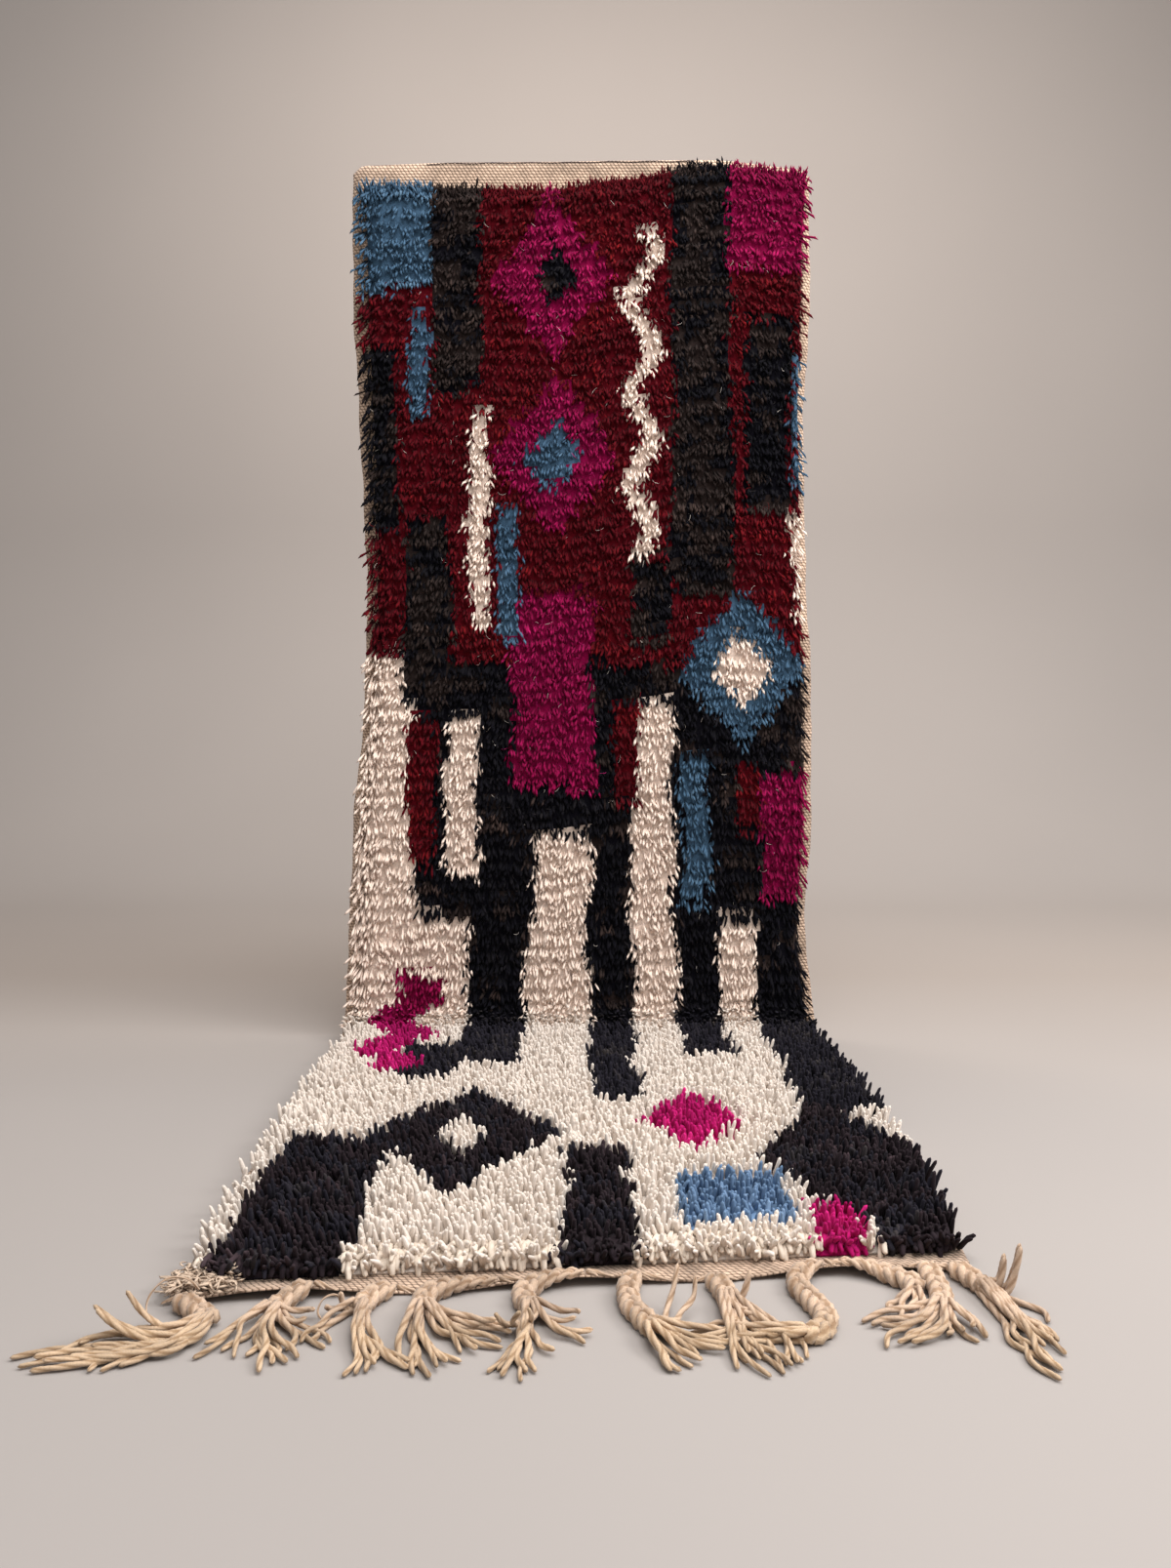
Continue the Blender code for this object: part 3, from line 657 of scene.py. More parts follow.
def buildBed():
    t = np.linspace(0, 1, bed["rows"] + 1)[:, None]
    left, right = (side[:, None] for side in pileSpan(pileAlong(0.0, t[:, 0])))
    across = left + (right - left) * np.linspace(0, 1, bed["columns"] + 1)
    along = pileAlong(across, t)
    lumps = noiseAt(flatPlaces(across, along), 60.0, 2.0).reshape(across.shape)
    share = np.clip((along - wallRun) / (laidFrom - wallRun), 0, 1)
    height = bed["hungHeight"] + (bed["laidHeight"] - bed["hungHeight"]) * share + bed["lump"] * lumps
    toSide = np.minimum(across - left, right - across) / bed["rimReach"]
    toTop = (along - pileAlong(across, 0.0)) / bed["topReach"]
    toFront = (pileAlong(across, 1.0) - along) / bed["frontReach"]
    rim = np.minimum.reduce((toSide, toTop, toFront, 1 - cornerShare(across, along)))
    height = bed["rimHeight"] + (height - bed["rimHeight"]) * np.clip(rim, 0, 1) ** bed["rimCurve"]
    mesh, flat = closedSheet("pileBed", bedWool(), across, along, height, np.full(across.shape, rug["clear"]))
    paintKnots(mesh, flat, lambda x, s: np.zeros(len(x)))
    return newPiece(mesh, "pile")


pilePieces = [buildBed()]
print("pile bed:", countTriangles(pilePieces[0].data), "triangles")

# Locks of the pile
wool = {
    "fibreScale": (14.0, 2.2),  # fibres round a lock and along it
    "patchScale": 7.0,  # uneven dye, per metre
    "bump": 0.55,
    "bumpDepth": 0.0006,
    "sheen": 0.02,
    "rough": 0.95,
    "root": 0.66,  # painted shade at a lock's root, where the pile around it would shadow it
    "deep": 0.76,  # shade of the darkest locks
    "patch": 0.84,
    "fibre": 0.70,  # shade between the fibres
}
locks = {
    "seed": 11,
    "pitch": 0.0245,  # from one row to the next
    "stray": (14.0, 0.008),  # how rows wander: waves for each metre, and how far
    "sizes": (0.84, 1.16),
    "swirl": (22.0, 14.0),  # how neighbours turn together: waves for each metre, and degrees
    "tilt": 7.0,
    "edgeReach": 0.030,
    "mostRoll": 16.0,
    # tone: the middle one, how much each lock and band differs, and clumps and patches with their scale
    "tone": {"middle": 0.40, "each": 0.13, "clump": (0.24, 60.0), "patch": (0.24, 24.0), "band": 0.30},
    "wornShare": 0.55,  # by which a lock in the worn corner is shorter
    "wornChance": (0.15, 1.15),  # of staying, in the worn corner
    "shapes": 8,
    "rootHeight": 0.0022,
    "mostTriangles": 190000,  # in one piece
    "hung": {
        "firstShape": 0,
        "perRow": 440,
        "strip": 0.0145,  # depth of the strip in which a row's locks are rooted
        "length": 0.0325,
        "spread": (0.012, 0.0),  # of the rows past the pile's left and right edges
        "thickness": 0.0041,
        "lean": (18.0, 87.0),
        "turn": 26.0,  # degrees to either side
        "roll": 9.0,
        "edgeTurn": 12.0,
        "edgeRoll": 8.0,
        "steady": 0.0,  # how much less the locks at the edges turn outwards
        "sides": 4,
        "spans": ((0.0, 0.62), (0.80, 1.0)),  # place along a lock, and its share of the thickness
    },
    "laid": {
        "firstShape": 50,
        "perRow": 365,
        "strip": 0.021,
        "length": 0.0315,
        "spread": (0.004, 0.013),
        "thickness": 0.0057,
        "lean": (-4.0, 36.0),
        "turn": 30.0,
        "roll": 11.0,
        "edgeTurn": 0.0,
        "edgeRoll": 9.0,
        "steady": 0.9,
        "sides": 5,
        "spans": ((0.0, 0.74), (0.55, 1.0), (0.92, 0.68)),
    },
    "front": {
        "firstShape": 90,
        "perRow": 185,
        "strip": 0.006,
        "length": 0.028,
        "spread": (0.0, 0.006),
        "thickness": 0.0063,
        "lean": (42.0, 146.0),
        "turn": 24.0,
        "roll": 12.0,
        "edgeTurn": -6.0,
        "edgeRoll": 0.0,
        "steady": 0.9,
        "sides": 5,
        "spans": ((0.0, 0.70), (0.35, 1.0), (0.70, 1.0), (0.94, 0.80)),
    },
    "frontReach": 0.034,  # before the front edge the locks lean forward
    "frontTilt": 34.0,
    "topRows": (0.006, 0.009, 0.015, 0.023),  # distances below the pile's upper edge, locks turned up
    "topTurn": 1.4,
    "topSizes": (0.45, 0.72),
    "frontRows": ((0.037, 0.013), (0.031, 0.013), (0.025, 0.012), (0.0185, 0.009)),  # and height of the root
    "frontSizes": (0.80, 1.05),
}


def lockWool(name, colour, worn, soft):
    # the wool of a lock: painted shade darkens its root; it has its own tone and fibres along it; soft evens
    # this out
    deep, root, patch, fibreShade = (
        wool[least] + (1 - wool[least]) * soft for least in ("deep", "root", "patch", "fibre")
    )
    material, tree = newMaterial(name, wool["rough"], wool["sheen"])
    uv = addNode(tree, "ShaderNodeUVMap", uv_map="lockMap").outputs["UV"]
    tone = addNode(tree, "ShaderNodeAttribute", attribute_name="tone").outputs["Fac"]
    light = tuple(min(c * w, 1.0) for c, w in zip(colour, worn))
    dyed = addRamp(tree, tone, (0.05, scaled(colour, deep)), (0.50, colour), (1.00, light))
    # painted shade: darker towards the lock's root
    dyed = shaded(tree, dyed, addRamp(tree, splitPlace(tree, uv)["Y"], (0.10, root), (0.70, 1.0)))
    uneven = patches(tree, objectPlace(tree), wool["patchScale"], 3.0)
    dyed = shaded(tree, dyed, addRamp(tree, uneven, (0.32, patch), (0.68, 1.0)))
    fibre = fibresAlong(tree, uv, wool["fibreScale"], 4.0)
    dyed = shaded(tree, dyed, addRamp(tree, fibre, (0.35, fibreShade), (0.62, 1.0)))
    return finishMaterial(material, dyed, fibre, wool["bump"], wool["bumpDepth"])


lockMaterials = {}
# each kind of lock gets its own copy of a yarn's wool, lighter or darker by painted light
for yarnName, look in yarns.items():
    soft = look.get("soft", 0.0)
    for kind in lockKinds:
        if kind in look:
            woolName = f"{yarnName}Wool{kind.title()}"
            lockMaterials[yarnName, kind] = lockWool(woolName, look[kind], look["worn"], soft)
        else:
            lockMaterials[yarnName, kind] = lockMaterials[yarnName, "laid"]


def lockShape(name, number, look, collection):
    # one lock: it leaves the weave upright, then leans over along the rug
    chance = np.random.default_rng(100 + number)
    length = look["length"] * chance.uniform(0.88, 1.12)
    first = math.radians(look["lean"][0] + chance.uniform(-6, 6))
    last = math.radians(look["lean"][1] + chance.uniform(-14, 12))
    side = chance.uniform(-0.35, 0.35)
    steps = 40
    line, ways = [np.zeros(3)], []
    for k in range(steps):
        share = (k + 0.5) / steps
        lean = first + (last - first) * share ** 0.85
        sway = side * share
        flatly = math.sin(lean)
        ways.append(np.array((math.sin(sway) * flatly, math.cos(sway) * flatly, math.cos(lean))))
        line.append(line[-1] + ways[-1] * length / steps)
    ways.append(ways[-1])
    bm = bmesh.new()
    uvLayer = bm.loops.layers.uv.new("lockMap")
    count = look["sides"]

    def addFace(corners, uvs):
        for loop, uv in zip(bm.faces.new(corners).loops, uvs):
            loop[uvLayer].uv = uv

    rings = []
    for share, thick in look["spans"]:
        k = round(share * steps)
        beside = np.cross(ways[k], (0, 0, 1.0)) if abs(ways[k][2]) < 0.98 else np.array((1.0, 0, 0))
        beside /= np.linalg.norm(beside)
        upward = np.cross(beside, ways[k])
        radius = look["thickness"] / 2 * thick
        ring = []
        for j in range(count):
            angle = 2 * math.pi * j / count + number
            uneven = 1 + 0.16 * chance.uniform(-1, 1)
            outward = beside * math.cos(angle) * 1.08 + upward * math.sin(angle) * 0.92
            ring.append(bm.verts.new(line[k] + outward * radius * uneven))
        rings.append((share, ring))
    tip = bm.verts.new(line[-1] + ways[-1] * look["thickness"] * 0.10)
    for (low, lower), (high, upper) in zip(rings, rings[1:]):
        for j in range(count):
            after, u, v = (j + 1) % count, j / count, (j + 1) / count
            uvs = ((u, low), (v, low), (v, high), (u, high))
            addFace((lower[j], lower[after], upper[after], upper[j]), uvs)
    high, upper = rings[-1]
    for j in range(count):
        uvs = ((j / count, high), ((j + 1) / count, high), ((j + 0.5) / count, 1.0))
        addFace((upper[j], upper[(j + 1) % count], tip), uvs)
    addFace(rings[0][1][::-1], [(0.0, 0.0)] * count)
    bmesh.ops.recalc_face_normals(bm, faces=bm.faces)
    mesh = addMesh(name, [])
    bm.to_mesh(mesh)
    bm.free()
    mesh.shade_smooth()
    addObject(name, mesh, collection)


def lockCollection(kind):
    collection = bpy.data.collections.new(kind + "Lock")
    scene.collection.children.link(collection)
    for number in range(locks["shapes"]):
        lockShape(f"{kind}Lock{number}", locks[kind]["firstShape"] + number, locks[kind], collection)
    return collection


def lockTree():
    # sets a lock on every knot point, with its own turn and size
    tree, names, given = startTree(
        "knotLocks", Shapes=("Collection", None), Least=("Float", locks["sizes"][0]),
        Greatest=("Float", locks["sizes"][1]), Seed=("Int", locks["seed"]),
    )
    shapes = addNode(tree, "GeometryNodeCollectionInfo", {
        "Collection": given["Shapes"], "Separate Children": True, "Reset Children": True,
    })
    pick = addNode(tree, "FunctionNodeRandomValue", {
        4: 0, 5: locks["shapes"] - 1, "Seed": given["Seed"],
    }, data_type="INT")
    size = addNode(tree, "FunctionNodeRandomValue", {
        2: given["Least"], 3: given["Greatest"], "Seed": given["Seed"],
    }, data_type="FLOAT")
    angles = addNode(tree, "ShaderNodeCombineXYZ", {
        axis: namedValue(tree, name) for axis, name in (("X", "tilt"), ("Y", "roll"), ("Z", "turn"))
    })
    spin = addNode(tree, "FunctionNodeEulerToRotation", {"Euler": angles.outputs["Vector"]})
    placed = addNode(tree, "GeometryNodeInstanceOnPoints", {
        "Points": given["Geometry"],
        "Instance": shapes.outputs["Instances"],
        "Pick Instance": True,
        "Instance Index": pick.outputs[2],
        "Rotation": spin.outputs["Rotation"],
        "Scale": mathNode(tree, "MULTIPLY", size.outputs[1], namedValue(tree, "share")),
    })
    endTree(tree, placed.outputs["Instances"], given["Wool"])
    return tree, names


def knotRow(k, kind, alongAt, chance):
    # the locks of one row: where each is rooted on the flat rug, and how it stands there
    middle = alongAt(0.0)
    look = locks[kind or ("laid" if middle > laidFrom else "hung")]
    left, right = pileSpan(middle)
    left, right = left - look["spread"][0], right + look["spread"][1]
    count = look["perRow"]
    across = left + (right - left) * (np.arange(count) + chance.uniform(0, 1, count)) / count
    along = alongAt(across) + chance.uniform(0, 1, count) * look["strip"]
    places = flatPlaces(across, along)
    waves, far = locks["stray"]
    along += far * noiseAt(places, waves, 5.0) * (0.4 if kind else 1.0)
    along = np.clip(along, pileAlong(across, 0.0) + 0.002, pileAlong(across, 1.0) - 0.002)
    turn = np.radians(look["turn"]) * chance.uniform(-1, 1, count)
    waves, far = locks["swirl"]
    turn += np.radians(far) * noiseAt(places, waves, 9.0)
    toLeft = np.clip(1 - (across - left) / locks["edgeReach"], 0, 1)
    toRight = np.clip(1 - (right - across) / locks["edgeReach"], 0, 1)
    # a positive turn swings the lock's tip to the left, a positive roll to the right
    splay = (toLeft ** 1.5 - toRight ** 1.5) * chance.uniform(0.3, 1.3, count)
    turn *= 1 - look["steady"] * np.where(turn < 0, toRight, toLeft)
    turn += np.radians(look["edgeTurn"]) * splay
    roll = look["roll"] * chance.normal(0, 0.7, count) - look["edgeRoll"] * splay
    roll = np.radians(np.clip(roll, -locks["mostRoll"], locks["mostRoll"]))
    tilt = np.radians(locks["tilt"]) * chance.normal(0, 0.8, count)
    if kind != "front":
        toFront = pileAlong(across, 1.0) - along
        tilt -= np.radians(locks["frontTilt"]) * np.clip(1 - toFront / locks["frontReach"], 0, 1) ** 1.5
    tones = locks["tone"]
    tone = tones["middle"] + tones["each"] * chance.normal(0, 1, count)
    for label, seed in (("clump", 3.0), ("patch", 12.0)):
        share, scale = tones[label]
        tone = tone + share * noiseAt(places, scale, seed)
    band = noiseAt(flatPlaces(across * 4, np.full(count, k * 0.9)), 1.0, 8.0)
    tone = np.clip(tone + tones["band"] * band, 0, 1)
    lying = (along - laidFrom) / rug["passage"] > chance.uniform(-1, 1, count)
    worn = cornerShare(across, along)
    kept = worn < chance.uniform(*locks["wornChance"], count)
    number = np.full(count, lockKinds.index("front")) if kind == "front" else np.where(lying, 1, 0)
    row = {
        "across": across, "along": along, "height": np.full(count, locks["rootHeight"]), "kind": number,
        "turn": turn, "tilt": tilt, "roll": roll, "share": 1 - locks["wornShare"] * worn, "tone": tone,
    }
    return {label: values[kept] for label, values in row.items()}


def knotPoints():
    chance = np.random.default_rng(locks["seed"])
    rows = round((pileAlong(0.0, 1.0) - pileAlong(0.0, 0.0)) / locks["pitch"])
    found = []
    for k in range(rows):
        found.append(knotRow(k, "", lambda x, t=(k + 0.15) / rows: pileAlong(x, t), chance))
    for k, distance in enumerate(locks["topRows"]):
        row = knotRow(k, "hung", lambda x, d=distance: pileAlong(x, 0.0) + d, chance)
        row["turn"] = math.pi + row["turn"] * locks["topTurn"]
        row["share"] *= chance.uniform(*locks["topSizes"], len(row["share"]))
        found.append(row)
    for k, (distance, height) in enumerate(locks["frontRows"]):
        row = knotRow(rows - k, "front", lambda x, d=distance: pileAlong(x, 1.0) - d, chance)
        row["height"][:] = height
        row["share"] *= chance.uniform(*locks["frontSizes"], len(row["share"]))
        found.append(row)
    return {label: np.concatenate([row[label] for row in found]) for label in found[0]}


def buildLocks():
    points = knotPoints()
    yarn = yarnAt(points["across"], points["along"])
    collections = [lockCollection(kind) for kind in lockKinds]
    tree, names = lockTree()
    pieces = []
    for number, yarnName in enumerate(yarnNames):
        for kind, (kindName, collection) in enumerate(zip(lockKinds, collections)):
            chosen = np.flatnonzero((yarn == number) & (points["kind"] == kind))
            perLock = max(countTriangles(shape.data) for shape in collection.objects)
            parts = math.ceil(len(chosen) * perLock / locks["mostTriangles"])
            for part, some in enumerate(np.array_split(chosen, parts) if parts else []):
                name = f"{yarnName}Locks{kindName.title()}{part + 1}"
                places = np.column_stack([points[label][some] for label in ("across", "along", "height")])
                source = addValues(addMesh(name + "Points", places.tolist()), **{
                    label: points[label][some] for label in ("turn", "tilt", "roll", "share", "tone")
                })
                seed = locks["seed"] + 7 * number + part
                made = runTree(name, source, tree, names, Shapes=collection, Seed=seed,
                               Wool=lockMaterials[yarnName, kindName])
                drapeMesh(made)
                pieces.append(newPiece(made, "pile"))
                print(" ", name, len(some), "locks,", countTriangles(made), "triangles")
    for collection in collections:
        for shape in list(collection.objects):
            bpy.data.objects.remove(shape)
        bpy.data.collections.remove(collection)
    return pieces


pilePieces += buildLocks()
print("locks:", countTriangles(*[p.data for p in pilePieces]), "triangles in the pile")

# Fringe: plaits that open into loose strands
fringe = {
    "colour": (0.585, 0.438, 0.330),
    "endColour": (0.570, 0.425, 0.292),
    "endsFrom": 0.030,  # from the front edge, in metres
    "endsFade": 0.040,
    "strand": 0.0036,  # radius of a loose strand
    "loopStrand": 0.0011,  # radius of a single thread that stands up as a loop
    "bundle": 0.0060,  # radius of one of a plait's three strands
    "lobe": 0.16,  # how far the two plies stand out
    "ring": 0.0030,  # from ring to ring along a strand
    "twist": 0.046,  # length in which a strand turns once
    "plaitWave": 0.040,  # length in which a plait repeats
    "plaitSwing": 0.0068,
    "plaitRise": 0.0036,
    "beside": 0.0062,  # from a strand to its fellow
    "fellows": 0.55,  # share of the tips with a second strand
    "layer": 0.0056,  # from one layer of strands to the next
    "lead": 0.016,  # in which a plait grows to its full width
    "gathered": (-0.012, -0.019, 0.015, 0.026),  # from where warp ends run into a plait, across
    "gatheredShare": 0.62,  # of a strand's radius
    "plaitRoot": 0.0058,  # height of a plait's middle over the front edge
    "plaitHeight": 0.0078,  # and over the floor
    "thinning": 0.30,  # of a strand at its tip
    "taper": 1.3,  # length of a strand's rounded ends, in radii
    "bend": 0.13,
    "wobble": 0.045,
    "patchScale": 26.0,
    "groove": (0.62, 0.55, 0.48),  # shade between the plies
    "fibreScale": (22.0, 500.0),
    "bump": 0.5,
    "bumpDepth": 0.0007,
}
# each: points of the plait on the floor, and the tips of the strands (x, y, how high the tip stands)
tassels = {
    "tassel_01": {
        "plait": ((-0.388, -0.462), (-0.375, -0.480), (-0.357, -0.494), (-0.343, -0.511)),
        "tips": ((-0.503, -0.566, 0), (-0.490, -0.578, 0), (-0.474, -0.588, 0), (-0.458, -0.566, 0.004),
                 (-0.424, -0.586, 0), (-0.405, -0.574, 0), (-0.448, -0.552, 0.006), (-0.478, -0.574, 0.006),
                 (-0.440, -0.540, 0.034), (-0.412, -0.534, 0.044)),
        "loop": ((-0.366, -0.468, 0.016), (-0.376, -0.476, 0.031), (-0.391, -0.485, 0.036),
                 (-0.403, -0.492, 0.028), (-0.407, -0.498, 0.017), (-0.403, -0.506, 0.007)),
    },
    "tassel_02": {
        "plait": ((-0.262, -0.450), (-0.274, -0.461), (-0.286, -0.474), (-0.294, -0.492)),
        "tips": ((-0.339, -0.565, 0), (-0.334, -0.548, 0.003), (-0.319, -0.552, 0), (-0.302, -0.562, 0),
                 (-0.274, -0.585, 0), (-0.253, -0.568, 0), (-0.266, -0.560, 0), (-0.250, -0.506, 0.010),
                 (-0.226, -0.543, 0)),
    },
    "tassel_03": {
        "plait": ((-0.182, -0.442), (-0.193, -0.453), (-0.204, -0.466), (-0.210, -0.487)),
        "tips": ((-0.251, -0.539, 0), (-0.199, -0.590, 0), (-0.191, -0.587, 0), (-0.181, -0.583, 0),
                 (-0.172, -0.575, 0.003), (-0.147, -0.578, 0), (-0.143, -0.570, 0.004),
                 (-0.236, -0.500, 0.012), (-0.224, -0.492, 0.022)),
        "loop": ((-0.224, -0.482, 0.012), (-0.233, -0.486, 0.021), (-0.243, -0.490, 0.019),
                 (-0.247, -0.496, 0.010), (-0.240, -0.502, 0.005), (-0.229, -0.500, 0.006)),
    },
    "tassel_04": {
        "lead": 0.060,
        "plait": ((-0.082, -0.434), (-0.112, -0.440), (-0.140, -0.449), (-0.151, -0.465), (-0.150, -0.488)),
        "tips": ((-0.150, -0.578, 0), (-0.138, -0.588, 0), (-0.126, -0.592, 0), (-0.118, -0.580, 0.003),
                 (-0.102, -0.566, 0), (-0.088, -0.552, 0.004), (-0.067, -0.543, 0), (-0.060, -0.522, 0.004),
                 (-0.075, -0.512, 0.010)),
    },
    "tassel_05": {
        "lead": 0.055,
        "plait": ((0.004, -0.428), (-0.028, -0.433), (-0.049, -0.443), (-0.056, -0.461), (-0.047, -0.487)),
        "tips": ((-0.077, -0.585, 0), (-0.066, -0.592, 0), (-0.048, -0.598, 0), (-0.036, -0.584, 0),
                 (-0.020, -0.556, 0.004), (0.008, -0.536, 0), (0.014, -0.520, 0.004), (-0.002, -0.508, 0.010),
                 (-0.076, -0.536, 0.026), (-0.052, -0.540, 0.030)),
    },
    "tassel_06": {
        "plait": ((0.058, -0.424), (0.047, -0.447), (0.047, -0.476), (0.058, -0.503), (0.069, -0.524)),
        "tips": ((0.083, -0.582, 0), (0.093, -0.580, 0), (0.104, -0.572, 0), (0.112, -0.565, 0.002),
                 (0.132, -0.548, 0.004), (0.146, -0.532, 0.003), (0.141, -0.516, 0.008),
                 (0.105, -0.470, 0.030), (0.092, -0.455, 0.034)),
    },
    "tassel_07": {
        "plait": ((0.132, -0.418), (0.135, -0.436), (0.140, -0.454), (0.142, -0.470)),
        "tips": ((0.142, -0.580, 0), (0.152, -0.560, 0.004), (0.170, -0.590, 0), (0.180, -0.586, 0),
                 (0.188, -0.578, 0.003), (0.198, -0.568, 0), (0.160, -0.572, 0.005), (0.172, -0.500, 0.010),
                 (0.164, -0.470, 0.036)),
    },
    "tassel_08": {
        "lead": 0.030,
        "plait": ((0.246, -0.407), (0.226, -0.417), (0.214, -0.438), (0.222, -0.470), (0.229, -0.500),
                  (0.219, -0.525), (0.200, -0.534)),
        "tips": ((0.110, -0.521, 0), (0.096, -0.530, 0), (0.118, -0.540, 0), (0.134, -0.512, 0.006),
                 (0.150, -0.546, 0.002), (0.160, -0.526, 0.008), (0.148, -0.500, 0.010)),
    },
    "tassel_09": {
        "lead": 0.050,
        "plait": ((0.262, -0.406), (0.288, -0.409), (0.310, -0.420), (0.326, -0.434), (0.330, -0.450)),
        "tips": ((0.306, -0.497, 0), (0.318, -0.506, 0.004), (0.296, -0.486, 0.004), (0.338, -0.500, 0.006)),
    },
    "tassel_10": {
        "plait": ((0.354, -0.398), (0.350, -0.428), (0.350, -0.457), (0.343, -0.484)),
        "tips": ((0.264, -0.507, 0), (0.272, -0.516, 0.002), (0.278, -0.550, 0), (0.288, -0.545, 0.003),
                 (0.296, -0.538, 0), (0.368, -0.534, 0), (0.352, -0.528, 0.006), (0.330, -0.530, 0.004)),
    },
    "tassel_11": {
        "plait": ((0.376, -0.396), (0.384, -0.415), (0.392, -0.433), (0.398, -0.450)),
        "tips": ((0.434, -0.556, 0), (0.424, -0.580, 0), (0.413, -0.596, 0), (0.418, -0.586, 0.004),
                 (0.436, -0.530, 0.003), (0.434, -0.506, 0), (0.410, -0.560, 0.004), (0.424, -0.545, 0.008),
                 (0.430, -0.452, 0.050), (0.416, -0.446, 0.036)),
    },
}


def fringeWool():
    # undyed warp ends, with painted shade in the groove between their plies
    material, tree = newMaterial("fringeWool", 0.86, 0.25, 0.45)
    uv = addNode(tree, "ShaderNodeUVMap", uv_map="strandMap").outputs["UV"]
    place = objectPlace(tree)
    around = mathNode(tree, "MULTIPLY", splitPlace(tree, uv)["X"], 4 * math.pi)
    ply = mathNode(tree, "MULTIPLY_ADD", mathNode(tree, "COSINE", around), 0.5, 0.5)
    forward = splitPlace(tree, place)["Y"]
    begun = (rug["frontCorner"][1] - fringe["endsFrom"]) / fringe["endsFade"]
    ends = mathNode(tree, "MULTIPLY_ADD", forward, -1 / fringe["endsFade"], begun, clamp=True)
    dyed = addRamp(tree, ends, (0.0, fringe["colour"]), (1.0, fringe["endColour"]))
    uneven = patches(tree, place, fringe["patchScale"], 4.0)
    dyed = shaded(tree, dyed, addRamp(tree, uneven, (0.30, (0.66, 0.64, 0.62)), (0.55, 1.0), (0.80, 1.26)))
    dyed = shaded(tree, dyed, addRamp(tree, ply, (0.0, fringe["groove"]), (0.45, 1.0)))
    fibre = fibresAlong(tree, uv, fringe["fibreScale"], 3.0)
    dyed = shaded(tree, dyed, addRamp(tree, fibre, (0.35, (0.80, 0.78, 0.75)), (0.60, 1.0)))
    relief = mathNode(tree, "MULTIPLY_ADD", fibre, 0.5, ply)
    return finishMaterial(material, dyed, relief, fringe["bump"], fringe["bumpDepth"])


def smoothPath(points, step):
    # a smooth curve through the points, with even steps along it
    points = np.array(points, float)
    padded = np.vstack((2 * points[0] - points[1], points, 2 * points[-1] - points[-2]))
    fine = []
    for a, b, c, d in zip(padded, padded[1:], padded[2:], padded[3:]):
        for t in np.linspace(0, 1, 24, endpoint=False):
            fine.append(0.5 * (2 * b + (c - a) * t + (2 * a - 5 * b + 4 * c - d) * t * t
                               + (3 * b - a - 3 * c + d) * t ** 3))
    fine.append(points[-1])
    fine = np.array(fine)
    lengths = np.concatenate(([0], np.cumsum(np.linalg.norm(np.diff(fine, axis=0), axis=1))))
    count = max(int(round(lengths[-1] / step)), 6)
    at = np.linspace(0, lengths[-1], count + 1)
    return np.column_stack([np.interp(at, lengths, fine[:, axis]) for axis in range(3)]), at


def strandTree():
    # sweeps a twisted two-ply section along every line
    tree, names, given = startTree(
        "twistedStrands", Section=("Object", None), TurnsPerMetre=("Float", 1 / fringe["twist"])
    )
    spline = addNode(tree, "GeometryNodeSplineParameter").outputs

    def curveOf(mesh):
        return addNode(tree, "GeometryNodeMeshToCurve", {"Mesh": mesh}).outputs["Curve"]

    def keep(curve, label):
        kept = addNode(tree, "GeometryNodeCaptureAttribute", {"Geometry": curve})
        kept.capture_items.new("FLOAT", label)
        tree.links.new(spline[label], kept.inputs[label])
        return kept.outputs

    turns = mathNode(tree, "MULTIPLY", spline["Length"], given["TurnsPerMetre"])
    tilted = addNode(tree, "GeometryNodeSetCurveTilt", {
        "Curve": curveOf(given["Geometry"]), "Tilt": mathNode(tree, "MULTIPLY", turns, 2 * math.pi),
    })
    lines = keep(tilted.outputs["Curve"], "Length")
    section = addNode(tree, "GeometryNodeObjectInfo", {"Object": given["Section"]})
    loop = keep(curveOf(section.outputs["Geometry"]), "Factor")
    swept = addNode(tree, "GeometryNodeCurveToMesh", {
        "Curve": lines["Geometry"], "Profile Curve": loop["Geometry"], "Scale": namedValue(tree, "girth"),
    })
    uv = addNode(tree, "ShaderNodeCombineXYZ", {"X": loop["Factor"], "Y": lines["Length"]})
    stored = addNode(tree, "GeometryNodeStoreNamedAttribute", {
        "Geometry": swept.outputs["Mesh"], "Name": "strandMap",
    }, data_type="FLOAT2", domain="CORNER")
    tree.links.new(uv.outputs["Vector"], stored.inputs["Value"])
    merged = addNode(tree, "GeometryNodeMergeByDistance", {
        "Geometry": stored.outputs["Geometry"], "Distance": 0.00002,
    })
    smooth = addNode(tree, "GeometryNodeSetShadeSmooth", {"Geometry": merged.outputs["Geometry"]})
    endTree(tree, smooth.outputs["Geometry"], given["Wool"])
    return tree, names


def sectionLoop(name, corners):
    # an open line that ends where it starts, so its map has no seam face
    places = []
    for k in range(corners + 1):
        angle = 2 * math.pi * k / corners
        radius = 1 - fringe["lobe"] * math.sin(angle) ** 2
        places.append((radius * math.cos(angle), radius * math.sin(angle), 0))
    return addObject(name, addMesh(name, places, [(k, k + 1) for k in range(corners)]))


def linesMesh(name, lines):
    # many lines in one mesh; each line is (places, girth at each place)
    places, links, girths = [], [], []
    for line, girth in lines:
        first = len(places)
        places += line.tolist()
        girths += list(girth)
        links += [(first + k, first + k + 1) for k in range(len(line) - 1)]
    return addValues(addMesh(name, places, links), girth=girths)


def roundEnds(at, radius, length, sharp=1.0):
    # a strand's radius, rounded off to nothing at both ends
    reach = radius * sharp
    start = np.clip(at / reach, 0, 1)
    end = np.clip((length - at) / reach, 0, 1)
    return radius * np.sqrt(1 - (1 - start) ** 2) * np.sqrt(1 - (1 - end) ** 2)


